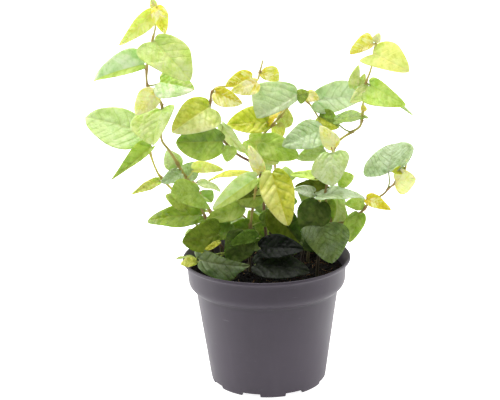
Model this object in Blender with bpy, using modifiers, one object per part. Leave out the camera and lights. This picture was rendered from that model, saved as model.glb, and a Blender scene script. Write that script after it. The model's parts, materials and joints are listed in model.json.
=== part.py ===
# A creeping fig in its nursery pot: pot, soil and leafy stems, each a separate solid.
#
# Units are metres, +Z is up and the origin is the middle of the pot's underside.
# The plant is drawn as it looks from one place in front of it. Each of its points is (right, up, away)
# in millimetres: where the eye sees the point on the upright plane through the pot's middle, and how far
# behind that plane (or, if negative, in front of it) the point really is.

import math
from collections import namedtuple

import bmesh
import bpy
from mathutils import Vector

MM = 0.001

# Pot and soil, in millimetres
POT_HEIGHT = 92.0
LIP_RADIUS = 60.0
COLLAR_RADIUS = 56.1
COLLAR_DEPTH = 19.0
WALL_TOP_RADIUS = 50.8
WALL_FOOT_RADIUS = 41.5
WALL_THICKNESS = 1.3
FLOOR_HEIGHT = 3.0
FLOOR_THICKNESS = 1.4
PAD_RADIUS = 8.0
POT_SIDES = 36
NOTCH_COUNT = 8
NOTCH_WIDTH = 14.0
NOTCH_FIRST_ANGLE = -19.0
DRAIN_RADIUS = 3.0
DRAIN_RING_RADIUS = 26.0
SOIL_EDGE_HEIGHT = 81.5
SOIL_MIDDLE_HEIGHT = 83.5
SOIL_BUMP = 0.7
GAP = 0.3

# Plant, in millimetres
EYE = Vector((-10.9, -1000.0, 424.0))
BLADE_THICKNESS = 0.7
STEM_FOOT_RADIUS = 1.3
STEM_TIP_RADIUS = 0.65
PETIOLE_RADIUS = 0.55
PETIOLE_DROP = 1.0
PETIOLE_END = 0.33
PETIOLE_END_RADIUS = 0.25
STEM_FOOT_HEIGHT = 70.5
HOLE_DEPTH_HEIGHT = 70.0
LEAN_HEIGHT = 150.0

# Heart-shaped outline of a leaf of length 1, as a radius about a point on its midrib
HEART_MIDDLE = 0.30
HEART_RADIUS = 0.42
HEART_TIP = 0.28
HEART_TIP_ANGLE = 0.5
HEART_NOTCH = 0.12
HEART_NOTCH_ANGLE = 0.25
HEART_HALF_WIDTH = 0.42
BLADE_ROWS = (0.0, 0.2, 0.45, 0.75, 1.0)

# node: which point of the stem the leaf grows at; foot and tip: the ends of its midrib;
# plus and minus: the widest reach of its two halves, in mm, plus being to the right with the tip up;
# turn: degrees the blade is rolled about its midrib, 0 facing the eye and 180 facing away;
# fold: degrees each half is raised; arch: how far the midrib bows, as a share of its length;
# skew: how far the plus half is pushed towards the tip and the minus half towards the notch;
# point: how much the blade narrows to its tip; drift: how far both halves are pushed towards the tip;
# lean: mm that a vine leans away, or towards the eye if negative, per 100 mm above LEAN_HEIGHT
Leaf = namedtuple("Leaf", "node foot tip plus minus kind turn fold arch skew point drift",
                  defaults=(0, 10, 0.05, 0.0, 0.0, 0.0))
Vine = namedtuple("Vine", "name root stem leaves lean", defaults=(0.0,))

VINES = (
    Vine("vine_left_tall", (-31, 5), (
        (-32, 98, 5), (-34, 108, 7), (-38, 122, 9), (-46, 138, 9), (-55, 150, 7), (-61, 161, 5),
        (-66, 170, 3), (-71.5, 178.5, 1), (-71, 190, 0), (-70.5, 203, -1), (-75, 211, -2), (-79.8, 217, -2),
        (-80, 228, -2), (-77.5, 240, -1), (-75, 249.5, 0), (-73, 257, 0), (-73.2, 265, 0), (-73, 270, 0),
    ), (
        Leaf(17, (-73.4, 270.5, 1), (-74.4, 277.5, 1), 3, 2.6, "cream", fold=20),
        Leaf(16, (-75, 267, 1), (-98.5, 245, 6), 6, 8, "lime", fold=15, point=0.5, drift=-0.2),
        Leaf(16, (-71.5, 270.8, -3), (-66.5, 252.8, -7), 5, 6, "yellow", arch=0.1),
        Leaf(14, (-74, 247.5, -3), (-50.5, 220.5, -18), 14.8, 14.5, "light", skew=-0.55, drift=-0.07),
        Leaf(12, (-82, 231.5, 2), (-117.5, 221.5, 16), 14.5, 4.5, "light", turn=20, fold=18, skew=-0.15,
             point=0.3),
        Leaf(11, (-71, 219.5, 1), (-48, 214, -12), 13.5, 10, "light/bright", turn=-20, fold=15),
        Leaf(9, (-74, 211, -4), (-89, 197, -9), 9.5, 6.5, "butter"),
        Leaf(8, (-71, 200, -2), (-77.5, 175, -16), 19, 11, "light", turn=30, skew=0.5, drift=-0.2),
        Leaf(4, (-56, 152, 13), (-46, 161.5, 11), 7, 7, "blue"),
        Leaf(5, (-62, 158, 8), (-68, 171, 11), 7, 7, "pale"),
        Leaf(4, (-59, 154, 3), (-73, 147.5, 0), 5.5, 5.5, "blue", turn=20),
        Leaf(4, (-50, 156, 0), (-29, 155.5, -4), 2, 7, "yellow", skew=0.2),
    ), lean=-25),
    Vine("vine_left_shoot", (-38, 14), (
        (-41, 100, 15), (-50, 118, 15), (-62, 138, 13), (-72.5, 150.5, 10), (-76.5, 158, 8),
        (-80, 170, 8), (-81.5, 182, 9), (-79.5, 194, 8), (-79, 201, 6),
    ), (
        Leaf(6, (-86, 184.5, 9), (-124, 196, 22), 12, 17, "light", turn=15, skew=0.15, point=-0.2),
        Leaf(5, (-79, 173.5, 3), (-108, 150, -10), 11, 3.8, "mid", fold=25, skew=-0.15, point=0.7),
        Leaf(3, (-74.5, 149, 5), (-94, 139.5, -2), 4.2, 4.2, "olive", turn=10, fold=20, point=0.3),
        Leaf(0, (-44, 106, 22), (-57, 108, 34), 10, 10, "mid", turn=110),
    ), lean=30),
    Vine("vine_centre_left", (0, -8), (
        (0, 104, -8), (-1, 120, -7), (-1.5, 134, -6), (-4, 147, -5), (-3.5, 153, -4), (-9, 160.5, -3),
        (-17, 165.5, -2), (-22.5, 170, -1), (-31, 180, 0), (-35, 186.5, 1), (-37.5, 196, 2), (-36.8, 205, 2),
        (-35.5, 211.5, 2), (-31, 215, 3), (-20, 215.5, 4), (-9, 217, 4), (-4, 219.5, 3), (-2.3, 225, 3),
        (-1, 229.5, 3), (-0.5, 231.5, 3),
    ), (
        Leaf(11, (-37.8, 200.8, -1), (-64, 184, -14), 12.7, 14.5, "olive/olive_light", fold=14, skew=0.25,
             drift=-0.15),
        Leaf(12, (-33, 211.5, -1), (-15, 203, -5), 8, 5.5, "cream/ochre", fold=15),
        Leaf(15, (-8, 220.5, 2), (-26, 215.8, -1), 7.5, 4, "ochre", fold=12),
        Leaf(15, (-4.5, 217.8, -3), (-22.5, 212.2, -7), 4, 7.5, "cream", drift=-0.1),
        Leaf(17, (-1, 224, 1), (10.7, 218.7, -2), 3, 7, "yellow", skew=-0.3, point=-0.4),
        Leaf(8, (-29.5, 176, -3), (-61.5, 176, -14), 10.5, 11.5, "moss/mid", fold=14, point=-0.5, drift=0.2),
        Leaf(8, (-29.3, 188.5, 5), (-12.3, 167, 7), 7, 7.5, "pale", turn=50),
        Leaf(7, (-24, 172.5, -4), (-26.6, 161.5, -8), 5.5, 5.5, "pale"),
        Leaf(4, (-3, 154, -8), (-11, 173, -8), 5.2, 5.2, "cream", fold=15),
        Leaf(4, (5, 152.5, -15), (15.7, 114, -30), 12, 12, "olive_light/olive", fold=18, point=-0.1),
        Leaf(4, (-9, 151, -6), (-44, 146, 3), 7, 7, "lime", turn=72, arch=0.1),
    ), lean=-22),
    Vine("vine_centre", (10, 9), (
        (9, 102, 10), (6, 122, 12), (2, 145, 13), (-2.5, 165, 12), (-3, 175, 10), (0, 181.5, 8), (5.5, 187, 7),
        (11, 193, 6), (17, 200, 5), (23.5, 206.5, 4), (30, 203.5, 4), (34.5, 197.5, 5), (38.5, 190.5, 6),
        (41, 184, 7),
    ), (
        Leaf(6, (2, 189.5, 4), (-26, 188, 0), 12, 8.5, "olive", turn=15),
        Leaf(9, (23.5, 208.4, 0), (-5, 192.8, -10), 18, 4, "blue", skew=0.25, point=-0.5, drift=0.27),
        Leaf(9, (23.5, 209.5, -2), (31.5, 210, -4), 8, 3, "olive/mid", fold=16),
        Leaf(7, (13.3, 199.5, 9), (16, 185, 11), 5.6, 4.8, "olive", point=-0.7, drift=0.5),
        Leaf(6, (11, 198, 2), (0, 184, 1), 4.5, 4.5, "ochre", turn=50),
        Leaf(9, (30, 208.8, 1), (38.5, 204.7, -3), 5, 4.5, "cream", fold=20, arch=0.1),
        Leaf(10, (36, 204, 3), (72, 208.5, 15), 10.5, 12, "blue", skew=-0.45),
        Leaf(13, (39.5, 183, 3), (12.5, 172.5, -9), 10.5, 11, "blue", turn=10),
        Leaf(13, (38.5, 193, 5), (52, 184.5, 1), 8, 8, "olive/moss"),
        Leaf(4, (-1.5, 175.6, 6), (24, 164, 2), 10.5, 9.5, "mid"),
        Leaf(4, (-11, 177, 9), (9.5, 159.5, 6), 10, 10.5, "pale"),
        Leaf(6, (8.5, 187.5, 13), (12.5, 178.6, 14), 5.5, 5.5, "lime"),
        Leaf(0, (5, 101, 3), (-14, 99, 6), 8, 7, "dusk", turn=20),
        Leaf(0, (13, 101, 3), (30, 102, 8), 7, 8, "dusk", turn=-20),
    ), lean=35),
    Vine("vine_right_tall", (30, 12), (
        (31, 100, 13), (34, 116, 14), (38, 132, 13), (42, 148, 12), (46, 162, 10), (50.5, 173, 7),
        (54, 176.8, 5), (60.5, 181, 3), (66, 184.5, 1), (67.8, 189, 0), (68.3, 198, -1), (69.5, 206, -1),
        (70.8, 216, -1), (73.5, 223.5, 0), (75.6, 232, 1), (76, 238, 1), (77.5, 243, 1),
    ), (
        Leaf(5, (48.8, 170.8, -3), (38.6, 186, -7), 6.5, 6, "cream", arch=0.08),
        Leaf(7, (50, 189.5, 3), (72.5, 191.5, -2), 9, 9, "mid", turn=-62),
        Leaf(11, (62, 212.5, 0), (65.7, 228.3, -1), 3, 4.5, "bright"),
        Leaf(12, (66.5, 213.5, 0), (70, 222.5, 1), 2.7, 2.7, "bright"),
        Leaf(12, (73.8, 213.8, -4), (98, 199.6, -18), 13, 7, "bright", fold=14, skew=0.2, point=0.2, drift=-0.5),
        Leaf(11, (86, 207, 4), (104.2, 191.4, 4), 1.4, 1.4, "pale"),
        Leaf(11, (72, 213, -3), (59.7, 202.2, -6), 4, 6.5, "bright", turn=10),
        Leaf(14, (76, 235.8, -1), (100, 223.1, -16), 9, 13, "butter", skew=-0.85, drift=-0.65),
        Leaf(16, (75, 243.2, 0), (59.4, 236, -4), 8.5, 2.8, "yellow", fold=15, skew=-0.15, drift=-0.15),
        Leaf(16, (77, 244.2, -1), (79.8, 250.4, -2), 3, 3, "cream"),
        Leaf(9, (69.5, 195.8, -2), (68.2, 201, -3), 2.3, 2.3, "yellow", fold=16),
        Leaf(4, (41, 169.4, 20), (22.5, 162.6, 22), 6, 6, "mid"),
        Leaf(1, (37, 117, 22), (53, 113, 34), 10, 10, "mid", turn=-110),
    ), lean=-22),
    Vine("vine_right_low", (24, -10), (
        (28, 99, -10), (38, 109, -10), (50, 114, -9), (60, 117.5, -9), (66, 121.5, -10), (70, 125.5, -11),
        (73, 129.5, -12), (79, 133, -14), (84, 136.5, -16), (86.3, 139.5, -17), (91, 143.3, -19),
        (95, 149, -21), (98.3, 154, -22), (99, 158.5, -23),
    ), (
        Leaf(9, (86.4, 152, -20), (92, 173.4, 0), 16.5, 16.5, "blue", turn=-35, fold=8, skew=0.28,
             point=-0.5, drift=-0.17),
        Leaf(10, (91.8, 144.5, -23), (106, 146.5, -28), 9.5, 9, "butter"),
        Leaf(12, (97.5, 153.5, -23), (89, 152, -26), 3, 3, "ochre"),
        Leaf(6, (71.5, 132.5, -15), (88.5, 124, -23), 4.5, 6.5, "ochre", fold=20, point=0.3),
        Leaf(5, (69.5, 129.5, -7), (56, 129.3, -10), 5.3, 5.3, "bright/pale"),
        Leaf(4, (66.3, 121.5, -13), (59, 100.5, -18), 8.5, 6, "moss", skew=0.3),
        Leaf(2, (50.5, 133, -5), (52, 104, -9), 6.5, 6, "pale"),
        Leaf(2, (53.5, 113.8, -4), (55.3, 127.8, -3), 4.3, 4.3, "moss"),
    )),
    Vine("vine_front_left", (-22, -22), (
        (-23, 88, -23), (-27, 95, -26), (-33, 101, -27), (-37, 107, -26), (-40, 111, -24), (-42, 115, -23),
    ), (
        Leaf(3, (-34, 108.5, -28), (-59.5, 103.5, -34), 11.5, 9.5, "shade", skew=-0.45, point=-0.2),
        Leaf(3, (-33.5, 103, -31), (-46.5, 95, -36), 2.2, 2, "olive", fold=14, arch=0.15),
        Leaf(1, (-50.5, 88.5, -30), (-62, 87.5, -24), 3.8, 3.8, "olive", turn=20),
        Leaf(1, (-47.5, 89.6, -33), (-12.4, 84.1, -43), 14.5, 10.5, "slate/dusk", turn=28, fold=6, skew=0.75,
             point=0.6, drift=0.08),
        Leaf(1, (-13, 106, -26), (-27.6, 86.6, -33), 13, 9.5, "dusk", skew=-0.1),
        Leaf(0, (-6, 104.8, -30), (-25.6, 100.1, -34), 8, 1.8, "shade", fold=5),
    )),
    Vine("vine_lower_left", (-36, -8), (
        (-39, 100, -9), (-43, 114, -10), (-43, 122, -10), (-46, 130, -11), (-48, 140, -12), (-49, 146, -13),
    ), (
        Leaf(5, (-47, 140, -16), (-66.5, 140, -20), 8.3, 10.3, "mid", skew=0.8, point=-0.6, drift=-0.3),
        Leaf(2, (-46, 123, -8), (-84.5, 120, 3), 9, 10, "moss", turn=30),
        Leaf(3, (-54, 130, -2), (-70.5, 138.5, 1), 6, 6, "mid"),
        Leaf(1, (-25, 116, -15), (-42, 106.5, -19), 8.5, 8, "shade"),
        Leaf(0, (-52, 91.5, -10), (-65, 91.2, -7), 2.6, 2.6, "mid", turn=60),
        Leaf(5, (-47, 146.6, -11), (-31, 140.8, -9), 5.5, 5.5, "moss", turn=-58),
    )),
    Vine("vine_centre_low", (-12, -12), (
        (-12, 100, -12), (-11, 114, -13), (-9, 128, -13), (-7, 140, -13), (-6, 148, -13),
    ), (
        Leaf(4, (-6.5, 149, -15), (-37.5, 127, -22), 9, 5.5, "pale/bright", fold=18),
        Leaf(2, (-17, 129, -14), (-42, 119, -19), 7, 8, "moss", turn=10),
        Leaf(3, (-2.8, 136, -12), (-22.3, 133.2, -13), 7.5, 7, "shade/mid"),
        Leaf(4, (-2, 143.2, -11), (-11, 138, -12), 4.5, 4.5, "bright"),
        Leaf(1, (-2.5, 117.5, -9), (13, 125.6, -10), 6.5, 6.5, "dusk"),
        Leaf(1, (-3, 106, -3), (-12, 126, -3), 7, 7, "shade"),
        Leaf(1, (-9, 113, -10), (-28, 112, -11), 7, 7, "dusk"),
    )),
    Vine("vine_front", (2, -26), (
        (2, 86, -27), (-2, 92, -29), (-4, 98, -31),
    ), (
        Leaf(2, (-4, 97.5, -34), (26.5, 96.5, -40), 9, 10, "night", turn=-25),
        Leaf(1, (-7.6, 85.8, -38), (31, 79.5, -40), 11.5, 11.5, "night", turn=-30, fold=6),
    )),
    Vine("vine_front_right", (35, -20), (
        (38, 96, -21), (43, 108, -22), (46, 116, -22), (44, 126, -20), (42, 136, -18), (44, 146, -17),
        (47, 158, -17), (47.5, 169, -17),
    ), (
        Leaf(2, (39.8, 112, -30), (46.7, 85.3, -36), 15.5, 18, "slate", fold=7, skew=-0.25, point=0.15,
             drift=-0.25),
        Leaf(1, (38, 105, -25), (26, 96, -30), 7.5, 7.5, "dusk"),
        Leaf(3, (38, 130.5, -23), (29, 104, -28), 13, 11, "dusk"),
        Leaf(3, (45, 132, -18), (43, 110, -21), 7, 6, "moss", turn=10),
        Leaf(0, (6, 126, -14), (24, 101, -18), 12, 10, "dusk"),
        Leaf(4, (43.5, 143.5, -13), (21, 143, -16), 5, 8, "dusk"),
        Leaf(4, (35, 137.5, -18), (20, 141, -21), 4.5, 4.5, "pale", turn=20),
        Leaf(4, (37, 135.5, -21), (70.3, 134, -18), 10, 9.5, "pale", turn=-62),
        Leaf(7, (47, 166, -20), (47, 142.5, -27), 14.5, 12, "pale", fold=12, skew=0.35),
        Leaf(6, (51, 146, -13), (62.5, 149.5, -14), 6, 6, "bright"),
        Leaf(5, (39, 149.5, -12), (17.5, 151.5, -14), 4, 4, "moss", turn=30),
    )),
    Vine("vine_back_left", (-26, 26), (
        (-27, 104, 28), (-32, 114, 31), (-39, 126, 33), (-46, 138, 33), (-52, 150, 31), (-58, 160, 29),
    ), (
        Leaf(0, (-30, 113, 34), (-45, 118, 46), 10, 10, "mid", turn=120),
        Leaf(1, (-32, 124, 37), (-21, 132, 46), 9, 9, "moss", turn=-120),
        Leaf(2, (-42, 127, 38), (-56, 124, 52), 10, 10, "mid", turn=115),
        Leaf(3, (-48, 139, 38), (-38, 133, 52), 9, 9, "bright", turn=-130),
        Leaf(4, (-55, 151, 34), (-60, 158, 46), 8, 8, "mid", turn=150),
    )),
    Vine("vine_back_centre", (2, 34), (
        (3, 108, 35), (5, 120, 35), (7, 134, 33), (7, 148, 30), (7, 160, 28), (6, 170, 26),
    ), (
        Leaf(0, (1, 124, 40), (-13, 131, 50), 9, 9, "mid", turn=120),
        Leaf(1, (9, 127, 40), (22, 132, 52), 10, 10, "moss", turn=-130),
        Leaf(2, (4, 140, 38), (-8, 143, 50), 9, 9, "bright", turn=140),
        Leaf(3, (10, 148, 36), (21, 150, 48), 9, 9, "light", turn=-150),
        Leaf(4, (5, 159, 34), (-5, 164, 44), 8, 8, "mid", turn=160),
        Leaf(5, (8, 170, 32), (17, 166, 42), 8, 8, "light", turn=-150),
    )),
    Vine("vine_back_right", (26, 28), (
        (27, 106, 30), (31, 118, 32), (36, 130, 32), (42, 142, 30), (47, 153, 27), (49, 162, 25),
    ), (
        Leaf(0, (31, 114, 36), (47, 119, 46), 9, 9, "mid", turn=-120),
        Leaf(1, (30, 128, 36), (23, 138, 44), 8, 8, "bright", turn=120),
        Leaf(2, (40, 131, 37), (56, 128, 50), 11, 11, "moss", turn=-120),
        Leaf(3, (38, 142, 36), (27, 139, 50), 9, 9, "mid", turn=130),
        Leaf(4, (50, 154, 32), (54, 161, 44), 8, 8, "light", turn=-160),
        Leaf(5, (47, 163, 29), (42, 157, 42), 8, 8, "mid", turn=180),
    )),
    Vine("vine_back_low", (-8, 42), (
        (-9, 113, 44), (-12, 118, 47), (-16, 122, 49),
    ), (
        Leaf(0, (-12, 117, 49), (-30, 113, 66), 12, 12, "mid", turn=115),
        Leaf(1, (-12, 119, 52), (-1, 116, 70), 11, 11, "moss", turn=-150),
        Leaf(2, (-18, 123, 53), (-26, 124, 68), 10, 10, "bright", turn=140),
    )),
    Vine("vine_back_edge", (22, 42), (
        (23, 114, 45), (26, 120, 47), (29, 125, 48),
    ), (
        Leaf(0, (26, 118, 50), (43, 113, 64), 12, 12, "mid", turn=-115),
        Leaf(1, (23, 119, 54), (15, 115, 69), 10, 10, "moss", turn=150),
        Leaf(2, (32, 126, 53), (41, 124, 68), 10, 10, "light", turn=-140),
    )),
)


def sight(point, lean=0.0):
    """Turn a (right, up, away) point in millimetres into its place in metres."""
    right, up, away = point
    seen = Vector((right, 0.0, up))
    return (EYE + (seen - EYE) * (1.0 + (away + lean) / -EYE.y)) * MM


def lean_at(vine, height):
    """How far away, in millimetres, a vine leans at a height."""
    return vine.lean * max(0.0, height - LEAN_HEIGHT) / 100.0


def millimetres(*values):
    return Vector(values) * MM


def clear_scene():
    for item in list(bpy.data.objects):
        bpy.data.objects.remove(item, do_unlink=True)


def new_collection(name):
    group = bpy.data.collections.new(name)
    bpy.context.scene.collection.children.link(group)
    return group


def plain_material(name, colour, roughness):
    material = bpy.data.materials.new(name)
    material.use_nodes = True
    shader = material.node_tree.nodes["Principled BSDF"]
    shader.inputs["Base Color"].default_value = (*colour, 1.0)
    shader.inputs["Roughness"].default_value = roughness
    shader.inputs["Metallic"].default_value = 0.0
    return material


def add_object(name, data, group):
    item = bpy.data.objects.new(name, data)
    group.objects.link(item)
    return item


def apply_modifiers(item):
    """Replace an object's mesh by the one its modifiers make."""
    graph = bpy.context.evaluated_depsgraph_get()
    mesh = bpy.data.meshes.new_from_object(item.evaluated_get(graph))
    item.modifiers.clear()
    item.data = mesh


# Pot

def turned_solid(name, profile, sides, group):
    """Turn a profile of (radius, height) pairs in millimetres about the Z axis."""
    bm = bmesh.new()
    verts = [bm.verts.new(millimetres(radius, 0.0, height)) for radius, height in profile]
    for first, second in zip(verts, verts[1:]):
        bm.edges.new((first, second))
    mesh = bpy.data.meshes.new(name)
    bm.to_mesh(mesh)
    bm.free()
    item = add_object(name, mesh, group)
    screw = item.modifiers.new("turn", "SCREW")
    screw.angle = math.tau
    screw.steps = sides
    screw.render_steps = sides
    screw.use_merge_vertices = True
    screw.merge_threshold = 0.00001
    apply_modifiers(item)
    return item


def pot_profile():
    """Inner side from the middle of the floor up to the lip, then the outer side down to the pad."""
    floor_top = FLOOR_HEIGHT + FLOOR_THICKNESS
    collar_foot = POT_HEIGHT - COLLAR_DEPTH
    inner_collar = COLLAR_RADIUS - WALL_THICKNESS
    return (
        (0.0, floor_top),
        (WALL_FOOT_RADIUS - WALL_THICKNESS - 0.9, floor_top),
        (WALL_FOOT_RADIUS - WALL_THICKNESS + 0.4, floor_top + 1.6),
        (WALL_TOP_RADIUS - WALL_THICKNESS, collar_foot - 2.8),
        (inner_collar - 0.8, collar_foot + 1.2),
        (inner_collar + 0.4, POT_HEIGHT - 5.0),
        (LIP_RADIUS - 2.2, POT_HEIGHT - 0.7),
        (LIP_RADIUS - 1.1, POT_HEIGHT),
        (LIP_RADIUS - 0.2, POT_HEIGHT - 0.6),
        (LIP_RADIUS - 0.2, POT_HEIGHT - 1.9),
        (COLLAR_RADIUS + 0.8, POT_HEIGHT - 3.2),
        (COLLAR_RADIUS + 0.5, POT_HEIGHT - 5.0),
        (COLLAR_RADIUS, collar_foot + 3.0),
        (COLLAR_RADIUS - 0.8, collar_foot + 0.2),
        (COLLAR_RADIUS - 2.4, collar_foot - 1.6),
        (WALL_TOP_RADIUS + 0.5, collar_foot - 3.2),
        (WALL_TOP_RADIUS, collar_foot - 4.4),
        (WALL_FOOT_RADIUS, FLOOR_HEIGHT),
        (WALL_FOOT_RADIUS - 0.7, 0.7),
        (WALL_FOOT_RADIUS - 1.6, 0.0),
        (WALL_FOOT_RADIUS - 4.0, 0.0),
        (WALL_FOOT_RADIUS - 4.2, FLOOR_HEIGHT),
        (PAD_RADIUS + 1.0, FLOOR_HEIGHT),
        (PAD_RADIUS, 0.0),
        (0.0, 0.0),
    )


def block(name, size, middle, turn, group):
    """A box of the given size in millimetres, turned about Z and then about the pot's axis."""
    bm = bmesh.new()
    bmesh.ops.create_cube(bm, size=1.0)
    bmesh.ops.scale(bm, vec=millimetres(*size), verts=bm.verts)
    bmesh.ops.translate(bm, vec=millimetres(*middle), verts=bm.verts)
    mesh = bpy.data.meshes.new(name)
    bm.to_mesh(mesh)
    bm.free()
    item = add_object(name, mesh, group)
    item.rotation_euler.z = turn
    return item


def post(name, radius, low, high, place, sides, group):
    """An upright cylinder between two heights, in millimetres."""
    bm = bmesh.new()
    bmesh.ops.create_cone(bm, cap_ends=True, segments=sides, radius1=radius * MM, radius2=radius * MM,
                          depth=(high - low) * MM)
    mesh = bpy.data.meshes.new(name)
    bm.to_mesh(mesh)
    bm.free()
    item = add_object(name, mesh, group)
    item.location = millimetres(place[0], place[1], (low + high) / 2.0)
    return item


def join_or_cut(item, group, operation):
    """One Boolean of a whole collection, applied; the collection's objects are then removed."""
    bpy.context.view_layer.update()
    boolean = item.modifiers.new("join_or_cut", "BOOLEAN")
    boolean.operation = operation
    boolean.operand_type = "COLLECTION"
    boolean.collection = group
    boolean.solver = "EXACT"
    apply_modifiers(item)
    for part in list(group.objects):
        bpy.data.objects.remove(part, do_unlink=True)
    bpy.data.collections.remove(group)


def make_pot(group):
    pot = turned_solid("pot", pot_profile(), POT_SIDES, group)
    cutters = new_collection("pot_cutters")
    foot_radius = WALL_FOOT_RADIUS - 2.0
    for index in range(NOTCH_COUNT):
        angle = math.radians(NOTCH_FIRST_ANGLE + index * 360.0 / NOTCH_COUNT)
        block(f"notch_{index}", (NOTCH_WIDTH, 9.0, FLOOR_HEIGHT * 2.0 - 0.4), (0.0, -foot_radius, 0.0),
              angle, cutters)
        place = (DRAIN_RING_RADIUS * math.sin(angle), -DRAIN_RING_RADIUS * math.cos(angle))
        post(f"drain_{index}", DRAIN_RADIUS, 1.0, 8.0, place, 8, cutters)
    join_or_cut(pot, cutters, "DIFFERENCE")
    pot.data.materials.clear()
    pot.data.materials.append(plain_material("pot_plastic", (0.16, 0.145, 0.165), 0.45))
    return pot


# Soil

def soil_profile():
    """Top from the middle out to the edge, then down beside the pot's wall and across its floor."""
    floor_top = FLOOR_HEIGHT + FLOOR_THICKNESS + GAP
    inner_collar = COLLAR_RADIUS - WALL_THICKNESS - GAP
    collar_foot = POT_HEIGHT - COLLAR_DEPTH
    drop = SOIL_MIDDLE_HEIGHT - SOIL_EDGE_HEIGHT
    top = [(radius, SOIL_MIDDLE_HEIGHT - drop * (radius / inner_collar) ** 2)
           for radius in (0.0, 14.0, 28.0, 42.0)]
    return (*top,
            (inner_collar - 0.3, SOIL_EDGE_HEIGHT),
            (inner_collar - 1.2, collar_foot + 1.0),
            (WALL_TOP_RADIUS - WALL_THICKNESS - GAP - 0.2, collar_foot - 3.0),
            (WALL_FOOT_RADIUS - WALL_THICKNESS - GAP, floor_top + 1.8),
            (WALL_FOOT_RADIUS - WALL_THICKNESS - GAP - 1.2, floor_top),
            (0.0, floor_top))


def make_soil(group):
    soil = turned_solid("soil", soil_profile(), POT_SIDES // 2, group)
    for vert in soil.data.vertices:
        x, y, z = vert.co / MM
        if z > SOIL_EDGE_HEIGHT - 0.1:
            vert.co.z += SOIL_BUMP * math.sin(0.21 * x + 1.0) * math.cos(0.17 * y) * MM
    cutters = new_collection("stem_holes")
    for vine in VINES:
        post("hole_" + vine.name, STEM_FOOT_RADIUS + GAP + 0.1, HOLE_DEPTH_HEIGHT, POT_HEIGHT, vine.root,
             10, cutters)
    join_or_cut(soil, cutters, "DIFFERENCE")
    soil.data.materials.clear()
    soil.data.materials.append(plain_material("soil", (0.035, 0.024, 0.018), 0.95))
    return soil


# Leaves and stems

def heart(step):
    """A point of the leaf's outline, along and across: step 0 is the notch and 1 the tip."""
    angle = math.pi * (1.0 - step)
    radius = (HEART_RADIUS + HEART_TIP * math.exp(-((angle / HEART_TIP_ANGLE) ** 1.5))
              - HEART_NOTCH * math.exp(-((math.pi - angle) / HEART_NOTCH_ANGLE) ** 2))
    along = HEART_MIDDLE + radius * math.cos(angle)
    across = radius * math.sin(angle) / HEART_HALF_WIDTH
    return along, across


def leaf_axes(vine, leaf):
    """The leaf's foot, midrib vector, sideways unit vector and upward unit vector, in metres."""
    lean = lean_at(vine, leaf.foot[1])
    foot = sight(leaf.foot, lean)
    midrib = sight(leaf.tip, lean) - foot
    along = midrib.normalized()
    view = (EYE * MM - foot - midrib / 2.0).normalized()
    facing = (view - along * view.dot(along)).normalized()
    side = along.cross(facing)
    turn = math.radians(leaf.turn)
    upward = facing * math.cos(turn) + side * math.sin(turn)
    return foot, midrib, along.cross(upward), upward


def leaf_point(leaf, axes, step, across):
    """A point of the blade: step runs from notch to tip and across from -1 to 1."""
    foot, midrib, side, upward = axes
    rim_along, rim_across = heart(step)
    spine = step * step
    half = leaf.plus if across > 0.0 else leaf.minus
    reach = rim_across * (1.0 - leaf.point * spine) * half * abs(across) * MM
    shift = (leaf.drift + leaf.skew * math.copysign(1.0, across)) * reach * rim_across / midrib.length
    along = spine + (rim_along - spine) * abs(across) + shift
    fold = math.radians(leaf.fold)
    rise = 4.0 * leaf.arch * along * (1.0 - along) * midrib.length + reach * math.sin(fold)
    return (foot + midrib * along + side * math.copysign(reach * math.cos(fold), across)
            + upward * rise)


def make_blade(name, vine, leaf, group):
    axes = leaf_axes(vine, leaf)
    rows = len(BLADE_ROWS) - 1
    bm = bmesh.new()
    bmesh.ops.create_grid(bm, x_segments=rows, y_segments=2, size=1.0)
    for vert in bm.verts:
        row = round((vert.co.x + 1.0) / 2.0 * rows)
        vert.co = leaf_point(leaf, axes, BLADE_ROWS[row], vert.co.y)
    bmesh.ops.remove_doubles(bm, verts=bm.verts, dist=0.000001)
    bmesh.ops.triangulate(bm, faces=bm.faces)
    mesh = bpy.data.meshes.new(name)
    bm.to_mesh(mesh)
    bm.free()
    blade = add_object(name, mesh, group)
    shell = blade.modifiers.new("thickness", "SOLIDIFY")
    shell.thickness = BLADE_THICKNESS * MM
    shell.offset = 0.0
    apply_modifiers(blade)
    return blade


def make_tube(name, points, radii, resolution, group):
    """A closed tube along points in metres, as a mesh, with a radius in metres at each."""
    curve = bpy.data.curves.new(name, "CURVE")
    curve.dimensions = "3D"
    curve.bevel_depth = 1.0
    curve.bevel_resolution = resolution
    curve.use_fill_caps = True
    spline = curve.splines.new("POLY")
    spline.points.add(len(points) - 1)
    for spot, point, radius in zip(spline.points, points, radii):
        spot.co = (*point, 1.0)
        spot.radius = radius
    item = add_object(name + "_curve", curve, group)
    bpy.context.view_layer.update()
    mesh = bpy.data.meshes.new_from_object(item.evaluated_get(bpy.context.evaluated_depsgraph_get()))
    bpy.data.objects.remove(item, do_unlink=True)
    bm = bmesh.new()
    bm.from_mesh(mesh)
    bmesh.ops.remove_doubles(bm, verts=bm.verts, dist=0.000001)
    bm.to_mesh(mesh)
    bm.free()
    return add_object(name, mesh, group)


def stem_points(vine):
    """The stem's points in metres, from its foot in the soil to its growing tip."""
    x, y = vine.root
    return [millimetres(x, y, STEM_FOOT_HEIGHT), millimetres(x, y, SOIL_MIDDLE_HEIGHT + 2.0),
            *(sight(point, lean_at(vine, point[1])) for point in vine.stem)]


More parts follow.
